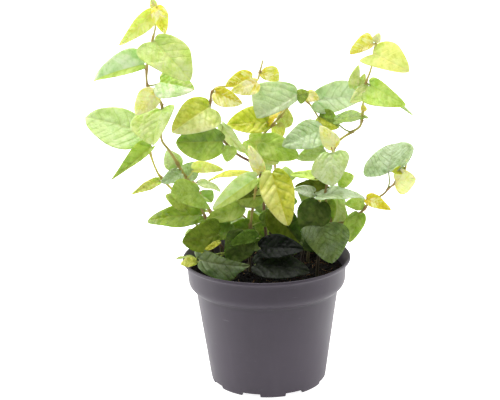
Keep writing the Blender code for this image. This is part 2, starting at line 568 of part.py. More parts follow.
def make_petiole(name, vine, leaf, start, group):
    """A leaf stalk from inside the stem to a place under the blade's notch, and up into the blade."""
    axes = leaf_axes(vine, leaf)
    foot, midrib, side, upward = axes
    entry = foot - upward * PETIOLE_DROP * MM
    inner = leaf_point(leaf, axes, PETIOLE_END, 0.0)
    make_tube(name, [start, entry, inner],
              [PETIOLE_RADIUS * MM, PETIOLE_RADIUS * MM, PETIOLE_END_RADIUS * MM], 0, group)


def make_vine(vine, material, group):
    spine = stem_points(vine)
    count = len(spine)
    radii = [(STEM_FOOT_RADIUS + (STEM_TIP_RADIUS - STEM_FOOT_RADIUS) * index / (count - 1)) * MM
             for index in range(count)]
    stem = make_tube(vine.name, spine, radii, 0, group)
    parts = new_collection(vine.name + "_parts")
    for index, leaf in enumerate(vine.leaves):
        make_blade(f"blade_{index}", vine, leaf, parts)
        make_petiole(f"petiole_{index}", vine, leaf, spine[leaf.node + 2], parts)
    join_or_cut(stem, parts, "UNION")
    stem.data.materials.clear()
    stem.data.materials.append(material)
    return stem


def main():
    clear_scene()
    group = new_collection("creeping_fig")
    make_pot(group)
    make_soil(group)
    leaf_green = plain_material("leaf", (0.19, 0.33, 0.05), 0.45)
    for vine in VINES:
        make_vine(vine, leaf_green, group)


main()
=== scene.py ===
# A creeping fig in its nursery pot, finished for a portrait: pot, soil, leafy stems, floor, lights, camera.
#
# Units are metres, +Z is up and the origin is the middle of the pot's underside. Named sizes are in
# millimetres. The plant is drawn as it looks from one place in front of it. Each of its points is
# (right, up, away): where the eye sees the point on the upright plane through the pot's middle, and how
# far behind that plane (or, if negative, in front of it) the point really is.

import itertools
import json
import math
import random
from collections import namedtuple

import bpy
from mathutils import Matrix, Vector, noise

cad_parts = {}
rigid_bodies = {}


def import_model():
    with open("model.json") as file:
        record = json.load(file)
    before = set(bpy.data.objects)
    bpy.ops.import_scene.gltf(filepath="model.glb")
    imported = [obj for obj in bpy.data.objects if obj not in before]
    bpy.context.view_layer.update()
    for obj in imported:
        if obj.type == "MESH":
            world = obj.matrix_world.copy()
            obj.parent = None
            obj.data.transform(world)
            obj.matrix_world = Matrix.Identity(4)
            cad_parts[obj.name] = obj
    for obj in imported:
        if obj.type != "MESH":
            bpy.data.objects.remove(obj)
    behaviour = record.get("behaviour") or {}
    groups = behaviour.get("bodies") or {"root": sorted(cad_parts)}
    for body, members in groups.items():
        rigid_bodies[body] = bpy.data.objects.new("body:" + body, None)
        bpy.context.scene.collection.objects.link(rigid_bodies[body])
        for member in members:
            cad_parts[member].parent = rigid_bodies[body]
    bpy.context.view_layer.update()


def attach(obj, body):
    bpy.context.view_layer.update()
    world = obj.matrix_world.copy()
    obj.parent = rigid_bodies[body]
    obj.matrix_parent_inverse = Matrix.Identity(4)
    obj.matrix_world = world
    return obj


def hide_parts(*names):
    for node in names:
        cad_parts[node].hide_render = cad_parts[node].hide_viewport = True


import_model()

MM = 0.001

# Pot and soil; from STEP_LOW to STEP_HIGH the step under the collar is painted darker, a painted shade
POT_HEIGHT = 92.0
LIP_RADIUS = 60.0
COLLAR_RADIUS = 56.1
COLLAR_DEPTH = 19.0
WALL_TOP_RADIUS = 50.8
WALL_FOOT_RADIUS = 41.5
WALL_THICKNESS = 1.3
FLOOR_HEIGHT = 3.0
FLOOR_THICKNESS = 1.4
PAD_RADIUS = 8.0
POT_SIDES = 144
CORNER_STEPS = 4
SHARP_ANGLE = 38.0
STEP_LOW = 66.5
STEP_MIDDLE = 70.5
STEP_HIGH = 74.5
NOTCH_COUNT = 8
NOTCH_WIDTH = 14.0
NOTCH_FIRST_ANGLE = -19.0
NOTCH_HALF_DEPTH = 4.5
DRAIN_RADIUS = 3.0
DRAIN_SIDES = 24
DRAIN_RING_RADIUS = 26.0
SOIL_EDGE_HEIGHT = 81.5
SOIL_MIDDLE_HEIGHT = 83.5
SOIL_BUMP = 0.7
SOIL_RINGS = 46
SOIL_SIDES = 120
GAP = 0.3
CRUMB_COUNT = 3400
CRUMB_SMALLEST = 0.25
CRUMB_RANGE = 0.75
CHIP_COUNT = 130
CHIP_SIZES = (1.0, 2.2)
FIBRE_COUNT = 150
FIBRE_RADIUS = 0.13
FIBRE_STEPS = 6
SOIL_SEED = 11

# The place in front of the plant from which it is drawn
EYE = Vector((-10.9, -1000.0, 424.0))

# Stems and stalks; a stalk (petiole) goes on under the blade as a rib, which RIB_STEPS places along the
# midrib, and each of BUD_RINGS is how far it lies from the one before and its radius as a share of the tip's
STEM_FOOT_HEIGHT = 70.5
STEM_FOOT_RADIUS = 1.3
STEM_TIP_RADIUS = 0.65
STEM_SIDES = 10
STEM_STEPS = 7
STEM_ROUND = 0.94
STEM_TAPER = 0.7
STEM_ROUGHNESS = 0.08
NODE_SWELL = 0.45
NODE_SHARPNESS = 3.5
BUD_LENGTH = 2.4
BUD_REACHES = 2.05
BUD_RINGS = ((0.35, 1.15), (0.7, 0.7), (1.0, 0.12))
PETIOLE_RADIUS = 0.55
PETIOLE_DROP = 1.0
PETIOLE_END = 0.33
PETIOLE_END_RADIUS = 0.25
PETIOLE_BOW = 0.12
PETIOLE_STEPS = 4
PETIOLE_FLARE = 0.5
PETIOLE_SINK = 0.45
RIB_SINK = 0.5
RIB_TAPER = 0.2
RIB_STEPS = (0.5, 0.65, 0.8, 0.92)
SCALE_COUNT = 2
SCALE_REACH = (1.6, 2.8)
SCALE_RADII = (0.42, 0.34, 0.06)
ROOTLET_REACH = (0.5, 1.1)
ROOTLET_RADII = (0.16, 0.14, 0.1, 0.05)
LEAN_HEIGHT = 150.0
# Below STEM_CLEAR_HEIGHT the stems darken over STEM_DARK_SPAN, a painted shade under the leaves
STEM_CLEAR_HEIGHT = 122.0
STEM_DARK_SPAN = 22.0

# Heart-shaped outline of a leaf of length 1, as a radius about a point on its midrib
HEART_MIDDLE = 0.30
HEART_RADIUS = 0.42
HEART_TIP = 0.28
HEART_TIP_ANGLE = 0.5
HEART_NOTCH = 0.12
HEART_NOTCH_ANGLE = 0.25
HEART_HALF_WIDTH = 0.42

# Relief of a blade: the vein pattern is in shares of the leaf's length, VEIN_WANDER is how far a vein strays
# from it, and each of BUBBLES is a height and how many fit along the leaf
BLADE_HALF = 0.17
RIB_HALF = 0.14
RIM_HALF = 0.07
CELL_SIZE = 0.85
FOLD_ROUND = 1.4
RIM_SHARPNESS = 6
RIM_FLATNESS = 0.6
MIDRIB_DEPTH = 0.35
MIDRIB_WIDTH = 0.8
VEIN_SPACING = 0.175
VEIN_RISE = 0.62
VEIN_BEND = 0.9
VEIN_STAGGER = 0.4
VEIN_WIDTH = 0.9
VEIN_WANDER = 0.032
WANDER_SCALE = 5.0
WANDER_RISE = 12.0
BUBBLE_HEIGHT = 1.1
BUBBLES = ((1.5, 5.0), (0.8, 11.0), (0.2, 23.0))
RIPPLES = 2.3
RIPPLE_STAGGER = 1.9
DROOP_START = 0.72
TIP_DROOP = 0.5

# node: which point of the stem the leaf grows at; foot and tip: the ends of its midrib;
# plus and minus: the widest reach of its two halves, in mm, plus being to the right with the tip up;
# turn: degrees the blade is rolled about its midrib, 0 facing the eye and 180 facing away;
# fold: degrees each half is raised; arch: how far the midrib bows, as a share of its length;
# skew: how far the plus half is pushed towards the tip and the minus half towards the notch;
# point: how much the blade narrows to its tip; drift: how far both halves are pushed towards the tip;
# lean: mm that a vine leans away, or towards the eye if negative, per 100 mm above LEAN_HEIGHT;
# green: how far a vine's stem is green and not brown
# kind: the look from LOOKS, or "plus/minus" looks for the two halves, so that one half is painted with light
# or sheen and the other with shade
Leaf = namedtuple("Leaf", "node foot tip plus minus kind turn fold arch skew point drift",
                  defaults=(0, 10, 0.05, 0.0, 0.0, 0.0))
Vine = namedtuple("Vine", "name root stem leaves lean green", defaults=(0.0, 0.0))

VINES = (
    Vine("vine_left_tall", (-31, 5), (
        (-32, 98, 5), (-34, 108, 7), (-38, 122, 9), (-46, 138, 9), (-55, 150, 7), (-61, 161, 5),
        (-66, 170, 3), (-71.5, 178.5, 1), (-71, 190, 0), (-70.5, 203, -1), (-75, 211, -2), (-79.8, 217, -2),
        (-80, 228, -2), (-77.5, 240, -1), (-75, 249.5, 0), (-73, 257, 0), (-73.2, 265, 0), (-73, 270, 0),
    ), (
        Leaf(17, (-73.4, 270.5, 1), (-74.4, 277.5, 1), 3, 2.6, "ivory", fold=20),
        Leaf(16, (-75, 267, 1), (-98.5, 245, 6), 6, 8, "lime", fold=15, point=0.5, drift=-0.2),
        Leaf(16, (-71.5, 270.8, -3), (-66.5, 252.8, -7), 5, 6, "yellow", arch=0.1),
        Leaf(14, (-74, 247.5, -3), (-50.5, 220.5, -18), 14.8, 14.5, "light", skew=-0.55, drift=-0.07),
        Leaf(12, (-82, 231.5, 2), (-117.5, 221.5, 16), 14.5, 4.5, "frost/bright", turn=20, fold=18,
             skew=-0.15, point=0.3),
        Leaf(11, (-71, 219.5, 1), (-48, 214, -12), 13.5, 10, "frost/leafy", turn=-20, fold=15),
        Leaf(9, (-74, 211, -4), (-89, 197, -9), 9.5, 6.5, "ivory"),
        Leaf(8, (-71, 200, -2), (-77.5, 175, -16), 19, 11, "light", turn=30, skew=0.5, drift=-0.2),
        Leaf(4, (-56, 152, 13), (-46, 161.5, 11), 7, 7, "blue"),
        Leaf(5, (-62, 158, 8), (-68, 171, 11), 7, 7, "pale"),
        Leaf(4, (-59, 154, 3), (-73, 147.5, 0), 5.5, 5.5, "blue", turn=20),
        Leaf(4, (-50, 156, 0), (-29, 155.5, -4), 2, 7, "lemon", skew=0.2),
    ), lean=-25, green=0.5),
    Vine("vine_left_shoot", (-38, 14), (
        (-41, 100, 15), (-50, 118, 15), (-62, 138, 13), (-72.5, 150.5, 10), (-76.5, 158, 8),
        (-80, 170, 8), (-81.5, 182, 9), (-79.5, 194, 8), (-79, 201, 6),
    ), (
        Leaf(6, (-86, 184.5, 9), (-124, 196, 22), 12, 17, "mint", turn=15, skew=0.15, point=-0.2),
        Leaf(5, (-79, 173.5, 3), (-108, 150, -10), 11, 3.8, "mid", fold=25, skew=-0.15, point=0.7),
        Leaf(3, (-74.5, 149, 5), (-94, 139.5, -2), 4.2, 4.2, "olive_light", turn=10, fold=20, point=0.3),
        Leaf(0, (-44, 106, 22), (-57, 108, 34), 10, 10, "mid", turn=110),
    ), lean=30, green=0.9),
    Vine("vine_centre_left", (0, -8), (
        (0, 104, -8), (-1, 120, -7), (-1.5, 134, -6), (-4, 147, -5), (-3.5, 153, -4), (-9, 160.5, -3),
        (-17, 165.5, -2), (-22.5, 170, -1), (-31, 180, 0), (-35, 186.5, 1), (-37.5, 196, 2), (-36.8, 205, 2),
        (-35.5, 211.5, 2), (-31, 215, 3), (-20, 215.5, 4), (-9, 217, 4), (-4, 219.5, 3), (-2.3, 225, 3),
        (-1, 229.5, 3), (-0.5, 231.5, 3),
    ), (
        Leaf(11, (-37.8, 200.8, -1), (-64, 184, -14), 12.7, 14.5, "brass/olive_pale", fold=14, skew=0.25,
             drift=-0.15),
        Leaf(12, (-33, 211.5, -1), (-15, 203, -5), 8, 5.5, "cream/ochre", fold=15),
        Leaf(15, (-8, 220.5, 2), (-26, 215.8, -1), 7.5, 4, "ochre", fold=12),
        Leaf(15, (-4.5, 217.8, -3), (-22.5, 212.2, -7), 4, 7.5, "cream", drift=-0.1),
        Leaf(17, (-1, 224, 1), (10.7, 218.7, -2), 3, 7, "yellow", skew=-0.3, point=-0.4),
        Leaf(8, (-29.5, 176, -3), (-61.5, 176, -14), 10.5, 11.5, "moss/mid", fold=14, point=-0.5, drift=0.2),
        Leaf(8, (-29.3, 188.5, 5), (-12.3, 167, 7), 7, 7.5, "pale", turn=50),
        Leaf(7, (-24, 172.5, -4), (-26.6, 161.5, -8), 5.5, 5.5, "bright"),
        Leaf(4, (-3, 154, -8), (-11, 173, -8), 5.2, 5.2, "ivory", fold=15),
        Leaf(4, (5, 152.5, -15), (15.7, 114, -30), 12, 12, "olive_light/olive", fold=18, point=-0.1),
        Leaf(4, (-9, 151, -6), (-44, 146, 3), 7, 7, "gold", turn=72, arch=0.1),
    ), lean=-22),
    Vine("vine_centre", (10, 9), (
        (9, 102, 10), (6, 122, 12), (2, 145, 13), (-2.5, 165, 12), (-3, 175, 10), (0, 181.5, 8),
        (5.5, 187, 7), (11, 193, 6), (17, 200, 5), (23.5, 206.5, 4), (30, 203.5, 4), (34.5, 197.5, 5),
        (38.5, 190.5, 6), (41, 184, 7),
    ), (
        Leaf(6, (2, 189.5, 4), (-26, 188, 0), 12, 8.5, "olive", turn=15),
        Leaf(9, (23.5, 208.4, 0), (-5, 192.8, -10), 18, 4, "silver", skew=0.25, point=-0.5, drift=0.27),
        Leaf(9, (23.5, 209.5, -2), (31.5, 210, -4), 8, 3, "moss/mid", fold=16),
        Leaf(7, (13.3, 199.5, 9), (16, 185, 11), 5.6, 4.8, "olive_pale", point=-0.7, drift=0.5),
        Leaf(6, (11, 198, 2), (0, 184, 1), 4.5, 4.5, "ochre", turn=50),
        Leaf(9, (30, 208.8, 1), (38.5, 204.7, -3), 5, 4.5, "cream", fold=20, arch=0.1),
        Leaf(10, (36, 204, 3), (72, 208.5, 15), 10.5, 12, "silver", skew=-0.45),
        Leaf(13, (39.5, 183, 3), (12.5, 172.5, -9), 10.5, 11, "blue", turn=10),
        Leaf(13, (38.5, 193, 5), (52, 184.5, 1), 8, 8, "olive/moss"),
        Leaf(4, (-1.5, 175.6, 6), (24, 164, 2), 10.5, 9.5, "bright"),
        Leaf(4, (-11, 177, 9), (9.5, 159.5, 6), 10, 10.5, "light"),
        Leaf(6, (8.5, 187.5, 13), (12.5, 178.6, 14), 5.5, 5.5, "butter"),
        Leaf(0, (5, 101, 3), (-14, 99, 6), 8, 7, "dusk", turn=20),
        Leaf(0, (13, 101, 3), (30, 102, 8), 7, 8, "dusk", turn=-20),
    ), lean=35, green=0.6),
    Vine("vine_right_tall", (30, 12), (
        (31, 100, 13), (34, 116, 14), (38, 132, 13), (42, 148, 12), (46, 162, 10), (50.5, 173, 7),
        (54, 176.8, 5), (60.5, 181, 3), (66, 184.5, 1), (67.8, 189, 0), (68.3, 198, -1), (69.5, 206, -1),
        (70.8, 216, -1), (73.5, 223.5, 0), (75.6, 232, 1), (76, 238, 1), (77.5, 243, 1),
    ), (
        Leaf(5, (48.8, 170.8, -3), (38.6, 186, -7), 6.5, 6, "ivory", arch=0.08),
        Leaf(7, (50, 189.5, 3), (72.5, 191.5, -2), 9, 9, "moss", turn=-62),
        Leaf(11, (62, 212.5, 0), (65.7, 228.3, -1), 3, 4.5, "light"),
        Leaf(12, (66.5, 213.5, 0), (70, 222.5, 1), 2.7, 2.7, "light"),
        Leaf(12, (73.8, 213.8, -4), (98, 199.6, -18), 13, 7, "bright", fold=14, skew=0.2,
             point=0.2, drift=-0.5),
        Leaf(11, (86, 207, 4), (104.2, 191.4, 4), 1.4, 1.4, "pale"),
        Leaf(11, (72, 213, -3), (59.7, 202.2, -6), 4, 6.5, "light", turn=10),
        Leaf(14, (76, 235.8, -1), (100, 223.1, -16), 9, 13, "butter", skew=-0.85, drift=-0.65),
        Leaf(16, (75, 243.2, 0), (59.4, 236, -4), 8.5, 2.8, "yellow", fold=15, skew=-0.15, drift=-0.15),
        Leaf(16, (77, 244.2, -1), (79.8, 250.4, -2), 3, 3, "ivory"),
        Leaf(9, (69.5, 195.8, -2), (68.2, 201, -3), 2.3, 2.3, "yellow", fold=16),
        Leaf(4, (41, 169.4, 20), (22.5, 162.6, 22), 6, 6, "pale"),
        Leaf(1, (37, 117, 22), (53, 113, 34), 10, 10, "mid", turn=-110),
    ), lean=-22, green=0.8),
    Vine("vine_right_low", (24, -10), (
        (28, 99, -10), (38, 109, -10), (50, 114, -9), (60, 117.5, -9), (66, 121.5, -10), (70, 125.5, -11),
        (73, 129.5, -12), (79, 133, -14), (84, 136.5, -16), (86.3, 139.5, -17), (91, 143.3, -19),
        (95, 149, -21), (98.3, 154, -22), (99, 158.5, -23),
    ), (
        Leaf(9, (86.4, 152, -20), (92, 173.4, 0), 16.5, 16.5, "sage", turn=-35, fold=8, skew=0.28,
             point=-0.5, drift=-0.17),
        Leaf(10, (91.8, 144.5, -23), (106, 146.5, -28), 9.5, 9, "ivory"),
        Leaf(12, (97.5, 153.5, -23), (89, 152, -26), 3, 3, "gold"),
        Leaf(6, (71.5, 132.5, -15), (88.5, 124, -23), 4.5, 6.5, "ochre", fold=20, point=0.3),
        Leaf(5, (69.5, 129.5, -7), (56, 129.3, -10), 5.3, 5.3, "bright"),
        Leaf(4, (66.3, 121.5, -13), (59, 100.5, -18), 8.5, 6, "mid", skew=0.3),
        Leaf(2, (50.5, 133, -5), (52, 104, -9), 6.5, 6, "pale"),
        Leaf(2, (53.5, 113.8, -4), (55.3, 127.8, -3), 4.3, 4.3, "moss"),
    )),
    Vine("vine_front_left", (-22, -22), (
        (-23, 88, -23), (-27, 95, -26), (-33, 101, -27), (-37, 107, -26), (-40, 111, -24), (-42, 115, -23),
    ), (
        Leaf(3, (-34, 108.5, -28), (-59.5, 103.5, -34), 11.5, 9.5, "shade", skew=-0.45, point=-0.2),
        Leaf(3, (-33.5, 103, -31), (-46.5, 95, -36), 2.2, 2, "olive", fold=14, arch=0.15),
        Leaf(1, (-50.5, 88.5, -30), (-62, 87.5, -24), 3.8, 3.8, "olive", turn=20),
        Leaf(1, (-47.5, 89.6, -33), (-12.4, 84.1, -43), 14.5, 10.5, "sheen/slate", turn=28, fold=6,
             skew=0.75, point=0.6, drift=0.08),
        Leaf(1, (-13, 106, -26), (-27.6, 86.6, -33), 13, 9.5, "dusk", skew=-0.1),
        Leaf(0, (-6, 104.8, -30), (-25.6, 100.1, -34), 8, 1.8, "fern", fold=5),
    )),
    Vine("vine_lower_left", (-36, -8), (
        (-39, 100, -9), (-43, 114, -10), (-43, 122, -10), (-46, 130, -11), (-48, 140, -12), (-49, 146, -13),
    ), (
        Leaf(5, (-47, 140, -16), (-66.5, 140, -20), 8.3, 10.3, "mid", skew=0.8, point=-0.6, drift=-0.3),
        Leaf(2, (-46, 123, -8), (-84.5, 120, 3), 9, 10, "fresh", turn=30),
        Leaf(3, (-54, 130, -2), (-70.5, 138.5, 1), 6, 6, "mid"),
        Leaf(1, (-25, 116, -15), (-42, 106.5, -19), 8.5, 8, "moss"),
        Leaf(0, (-52, 91.5, -10), (-65, 91.2, -7), 2.6, 2.6, "mid", turn=60),
        Leaf(5, (-47, 146.6, -11), (-31, 140.8, -9), 5.5, 5.5, "pale", turn=-58),
    )),
    Vine("vine_centre_low", (-12, -12), (
        (-12, 100, -12), (-11, 114, -13), (-9, 128, -13), (-7, 140, -13), (-6, 148, -13),
    ), (
        Leaf(4, (-6.5, 149, -15), (-37.5, 127, -22), 9, 5.5, "sunny/bright", fold=18),
        Leaf(2, (-17, 129, -14), (-42, 119, -19), 7, 8, "mid", turn=10),
        Leaf(3, (-2.8, 136, -12), (-22.3, 133.2, -13), 7.5, 7, "shade/mid"),
        Leaf(4, (-2, 143.2, -11), (-11, 138, -12), 4.5, 4.5, "bright"),
        Leaf(1, (-2.5, 117.5, -9), (13, 125.6, -10), 6.5, 6.5, "moss"),
        Leaf(1, (-3, 106, -3), (-12, 126, -3), 7, 7, "mid"),
        Leaf(1, (-9, 113, -10), (-28, 112, -11), 7, 7, "moss"),
    ), green=0.6),
    Vine("vine_front", (2, -26), (
        (2, 86, -27), (-2, 92, -29), (-4, 98, -31),
    ), (
        Leaf(2, (-4, 97.5, -34), (26.5, 96.5, -40), 9, 10, "ink", turn=-25),
        Leaf(1, (-7.6, 85.8, -38), (31, 79.5, -40), 11.5, 11.5, "night", turn=-30, fold=6),
    )),
    Vine("vine_front_right", (35, -20), (
        (38, 96, -21), (43, 108, -22), (46, 116, -22), (44, 126, -20), (42, 136, -18), (44, 146, -17),
        (47, 158, -17), (47.5, 169, -17),
    ), (
        Leaf(2, (39.8, 112, -30), (46.7, 85.3, -36), 15.5, 18, "slate", fold=7, skew=-0.25, point=0.15,
             drift=-0.25),
        Leaf(1, (38, 105, -25), (26, 96, -30), 7.5, 7.5, "gloom"),
        Leaf(3, (38, 130.5, -23), (29, 104, -28), 13, 11, "dusk"),
        Leaf(3, (45, 132, -18), (43, 110, -21), 7, 6, "mid", turn=10),
        Leaf(0, (6, 126, -14), (24, 101, -18), 12, 10, "shade/dusk"),
        Leaf(4, (43.5, 143.5, -13), (21, 143, -16), 5, 8, "shade"),
        Leaf(4, (35, 137.5, -18), (20, 141, -21), 4.5, 4.5, "blue", turn=20),
        Leaf(4, (37, 135.5, -21), (70.3, 134, -18), 10, 9.5, "blue", turn=-62),
        Leaf(7, (47, 166, -20), (47, 142.5, -27), 14.5, 12, "pale", fold=12, skew=0.35),
        Leaf(6, (51, 146, -13), (62.5, 149.5, -14), 6, 6, "bright"),
        Leaf(5, (39, 149.5, -12), (17.5, 151.5, -14), 4, 4, "bright", turn=30),
    )),
    Vine("vine_back_left", (-26, 26), (
        (-27, 104, 28), (-32, 114, 31), (-39, 126, 33), (-46, 138, 33), (-52, 150, 31), (-58, 160, 29),
    ), (
        Leaf(0, (-30, 113, 34), (-45, 118, 46), 10, 10, "mid", turn=120),
        Leaf(1, (-32, 124, 37), (-21, 132, 46), 9, 9, "moss", turn=-120),
        Leaf(2, (-42, 127, 38), (-56, 124, 52), 10, 10, "mid", turn=115),
        Leaf(3, (-48, 139, 38), (-38, 133, 52), 9, 9, "bright", turn=-130),
        Leaf(4, (-55, 151, 34), (-60, 158, 46), 8, 8, "mid", turn=150),
    )),
    Vine("vine_back_centre", (2, 34), (
        (3, 108, 35), (5, 120, 35), (7, 134, 33), (7, 148, 30), (7, 160, 28), (6, 170, 26),
    ), (
        Leaf(0, (1, 124, 40), (-13, 131, 50), 9, 9, "mid", turn=120),
        Leaf(1, (9, 127, 40), (22, 132, 52), 10, 10, "moss", turn=-130),
        Leaf(2, (4, 140, 38), (-8, 143, 50), 9, 9, "bright", turn=140),
        Leaf(3, (10, 148, 36), (21, 150, 48), 9, 9, "light", turn=-150),
        Leaf(4, (5, 159, 34), (-5, 164, 44), 8, 8, "mid", turn=160),
        Leaf(5, (8, 170, 32), (17, 166, 42), 8, 8, "light", turn=-150),
    )),
    Vine("vine_back_right", (26, 28), (
        (27, 106, 30), (31, 118, 32), (36, 130, 32), (42, 142, 30), (47, 153, 27), (49, 162, 25),
    ), (
        Leaf(0, (31, 114, 36), (47, 119, 46), 9, 9, "mid", turn=-120),
        Leaf(1, (30, 128, 36), (23, 138, 44), 8, 8, "bright", turn=120),
        Leaf(2, (40, 131, 37), (56, 128, 50), 11, 11, "moss", turn=-120),
        Leaf(3, (38, 142, 36), (27, 139, 50), 9, 9, "mid", turn=130),
        Leaf(4, (50, 154, 32), (54, 161, 44), 8, 8, "light", turn=-160),
        Leaf(5, (47, 163, 29), (42, 157, 42), 8, 8, "mid", turn=180),
    )),
    Vine("vine_back_low", (-8, 42), (
        (-9, 113, 44), (-12, 118, 47), (-16, 122, 49),
    ), (
        Leaf(0, (-12, 117, 49), (-30, 113, 66), 12, 12, "mid", turn=115),
        Leaf(1, (-12, 119, 52), (-1, 116, 70), 11, 11, "moss", turn=-150),
        Leaf(2, (-18, 123, 53), (-26, 124, 68), 10, 10, "bright", turn=140),
    )),
    Vine("vine_back_edge", (22, 42), (
        (23, 114, 45), (26, 120, 47), (29, 125, 48),
    ), (
        Leaf(0, (26, 118, 50), (43, 113, 64), 12, 12, "mid", turn=-115),
        Leaf(1, (23, 119, 54), (15, 115, 69), 10, 10, "moss", turn=150),
        Leaf(2, (32, 126, 53), (41, 124, 68), 10, 10, "light", turn=-140),
    )),
)

# The look of each kind of leaf: its colour and the colour of its mottling (red, green, blue of 255), the
# share that is cream, how much painted sheen lies between its veins, how dark the painted shade in the
# furrows along its veins is, and in mm its relief and waviness. Besides each leaf's own colour, the tones
# paint the
# light and shade it sits in: the dark kinds paint shade, and the palest kinds and those with sheen paint
# light
Look = namedtuple("Look", "tone mottle cream bloom furrow relief wave",
                  defaults=(0.0, 0.0, 0.3, 0.45, 0.4))

LOOKS = {
    # The first kind paints a whitish sheen
    "frost": Look((182, 216, 136), (232, 243, 212), bloom=0.5, furrow=0.2, relief=0.4),
    "sunny": Look((212, 238, 144), (232, 245, 190), bloom=0.3, furrow=0.35, relief=0.5),
    "light": Look((202, 220, 108), (225, 234, 152), bloom=0.3, furrow=0.2, relief=0.35),
    "leafy": Look((160, 196, 66), (190, 218, 108), cream=0.15, bloom=0.1, furrow=0.25),
    "butter": Look((228, 222, 132), (234, 229, 156), furrow=0.1, relief=0.22, wave=0.3),
    "lemon": Look((240, 240, 128), (248, 246, 166), furrow=0.25, relief=0.4),
    "lime": Look((220, 224, 112), (229, 233, 150), cream=0.1, furrow=0.2, relief=0.35),
    "gold": Look((194, 198, 46), (208, 210, 72)),
    "yellow": Look((229, 214, 64), (239, 228, 106), cream=0.3, furrow=0.35, relief=0.5),
    "ochre": Look((213, 187, 36), (225, 204, 64), cream=0.2, furrow=0.4, relief=0.5),
    "cream": Look((227, 213, 78), (239, 229, 122), cream=0.6, furrow=0.35, relief=0.5),
    "ivory": Look((252, 242, 140), (255, 248, 184), cream=0.6),
    "olive": Look((180, 180, 42), (208, 208, 78), furrow=0.55, relief=0.8, wave=0.5),
    "brass": Look((196, 190, 56), (216, 212, 92), furrow=0.5, relief=0.8, wave=0.5),
    "olive_light": Look((208, 208, 88), (224, 224, 126), bloom=0.1, furrow=0.5, relief=0.8, wave=0.5),
    "olive_pale": Look((222, 222, 118), (238, 238, 158), bloom=0.2, furrow=0.35, relief=0.6, wave=0.5),
    "bright": Look((182, 206, 70), (204, 222, 108), bloom=0.15, furrow=0.25, relief=0.4),
    "pale": Look((194, 210, 122), (217, 227, 166), bloom=0.4, furrow=0.35),
    "silver": Look((174, 190, 136), (204, 215, 178), bloom=0.8, furrow=0.4),
    "mint": Look((174, 192, 114), (196, 210, 150), bloom=0.3, furrow=0.45),
    "sage": Look((134, 147, 98), (164, 174, 140), bloom=0.6, furrow=0.6),
    "blue": Look((144, 162, 102), (176, 188, 144), bloom=0.75, furrow=0.4),
    "mid": Look((156, 174, 56), (178, 192, 82), bloom=0.12),
    "moss": Look((114, 134, 30), (138, 158, 46), bloom=0.08),
    "fresh": Look((116, 136, 16), (136, 156, 28)),
    "shade": Look((92, 104, 30), (112, 122, 42)),
    "fern": Look((68, 90, 26), (86, 110, 40)),
    "sheen": Look((88, 104, 40), (124, 140, 82), bloom=0.38, furrow=0.2, relief=0.4, wave=0.5),
    "slate": Look((76, 90, 38), (96, 110, 52), bloom=0.2, furrow=0.2, relief=0.5, wave=0.5),
    "dusk": Look((65, 78, 34), (84, 97, 46), furrow=0.25),
    "gloom": Look((52, 66, 28), (66, 80, 36), furrow=0.25),
    "night": Look((15, 21, 4), (23, 30, 8), bloom=0.03, relief=0.5),
    "ink": Look((9, 15, 3), (16, 23, 6), relief=0.5),
}
# The dark kinds paint shade; they use the leaf_shaded copy of the leaf material, with less gloss
SHADED_KINDS = ("shade", "slate", "fern", "dusk", "gloom", "night", "ink")
YOUNG_KINDS = ("sunny", "butter", "lemon", "lime", "gold", "yellow", "ochre", "cream", "ivory")

CREAM = (255, 248, 200)
# Colour of the painted sheen between the veins
SHEEN_PAINT = (208, 222, 190)
UNDERSIDE = (150, 168, 108)
BARK = (160, 144, 84)
BARK_BROWN = (118, 82, 60)
BARK_DARK = (116, 80, 52)
YOUNG_STEM = (232, 226, 140)
YOUNG_NODE = (206, 146, 74)
GREEN_STEM = (212, 204, 104)
# Painted shade on the stems near the soil
BARK_SHADE = (34, 27, 21)
PETIOLE_TONE = (176, 190, 90)
SCALE_TONE = (168, 116, 74)
# Soil colours: dark peat, made near black as painted shade under the leaves
SOIL_TONES = ((6, 5, 5), (11, 9, 7), (25, 16, 12), (4, 4, 4), (42, 26, 20))
FIBRE_TONES = ((110, 82, 56), (84, 58, 42), (140, 112, 78))

# Colours as linear shares
BARK_FLECK = (0.42, 0.36, 0.26)
PLASTIC_DARK = (0.0505, 0.041, 0.0555)
PLASTIC_LIGHT = (0.061, 0.050, 0.067)
PLASTIC_FLOW = (0.15, 0.14, 0.155)
# Painted shade for the step under the collar
PLASTIC_STEP_SHADE = (0.02, 0.017, 0.022)
PLASTIC_SCUFF = (0.24, 0.23, 0.25)
SOIL_GRIT = (0.05, 0.033, 0.022)

# Tints that a surface's own colour is multiplied by; the leaves' hollow, rim and foot tints paint shade
LEAF_HOLLOW_SHADE = (0.66, 0.74, 0.56)
LEAF_VEIN_TINT = (1.4, 1.3, 1.5)
LEAF_RIM_SHADE = (0.78, 0.84, 1.05)
LEAF_FOOT_SHADE = (0.62, 0.76, 0.48)
YOUNG_FOOT_TINT = (0.96, 0.78, 0.30)
BARK_HOLLOW_TINT = (0.62, 0.54, 0.48)
SOIL_DAMP_TINT = (0.4, 0.36, 0.34)

# How far the painted veins reach: the midrib as shares of the leaf's length, the side veins and the painted
# shade of their furrows as shares of a vein spacing, the fine net as shares of its cells
MIDRIB_SPAN = (0.004, 0.020)
VEIN_SPAN = (0.015, 0.09)
FURROW_SPAN = (0.0, 0.22)
NET_SPAN = (0.0, 0.14)
NET_SCALE = 13.0

# Materials of a vine, by their place in its list
LEAF = 0
BARK_PART = 1
SHADED_LEAF = 2
YOUNG_LEAF = 3


def linear(colour):
    """A colour of 255 as the linear shares that a shader works with."""
    return tuple((part / 255.0) ** 2.2 for part in colour)


def blended(first, second, share):
    return tuple(a + (b - a) * share for a, b in zip(first, second))


def clamped(value):
    return max(0.0, min(1.0, value))


def millimetres(*values):
    return Vector(values) * MM


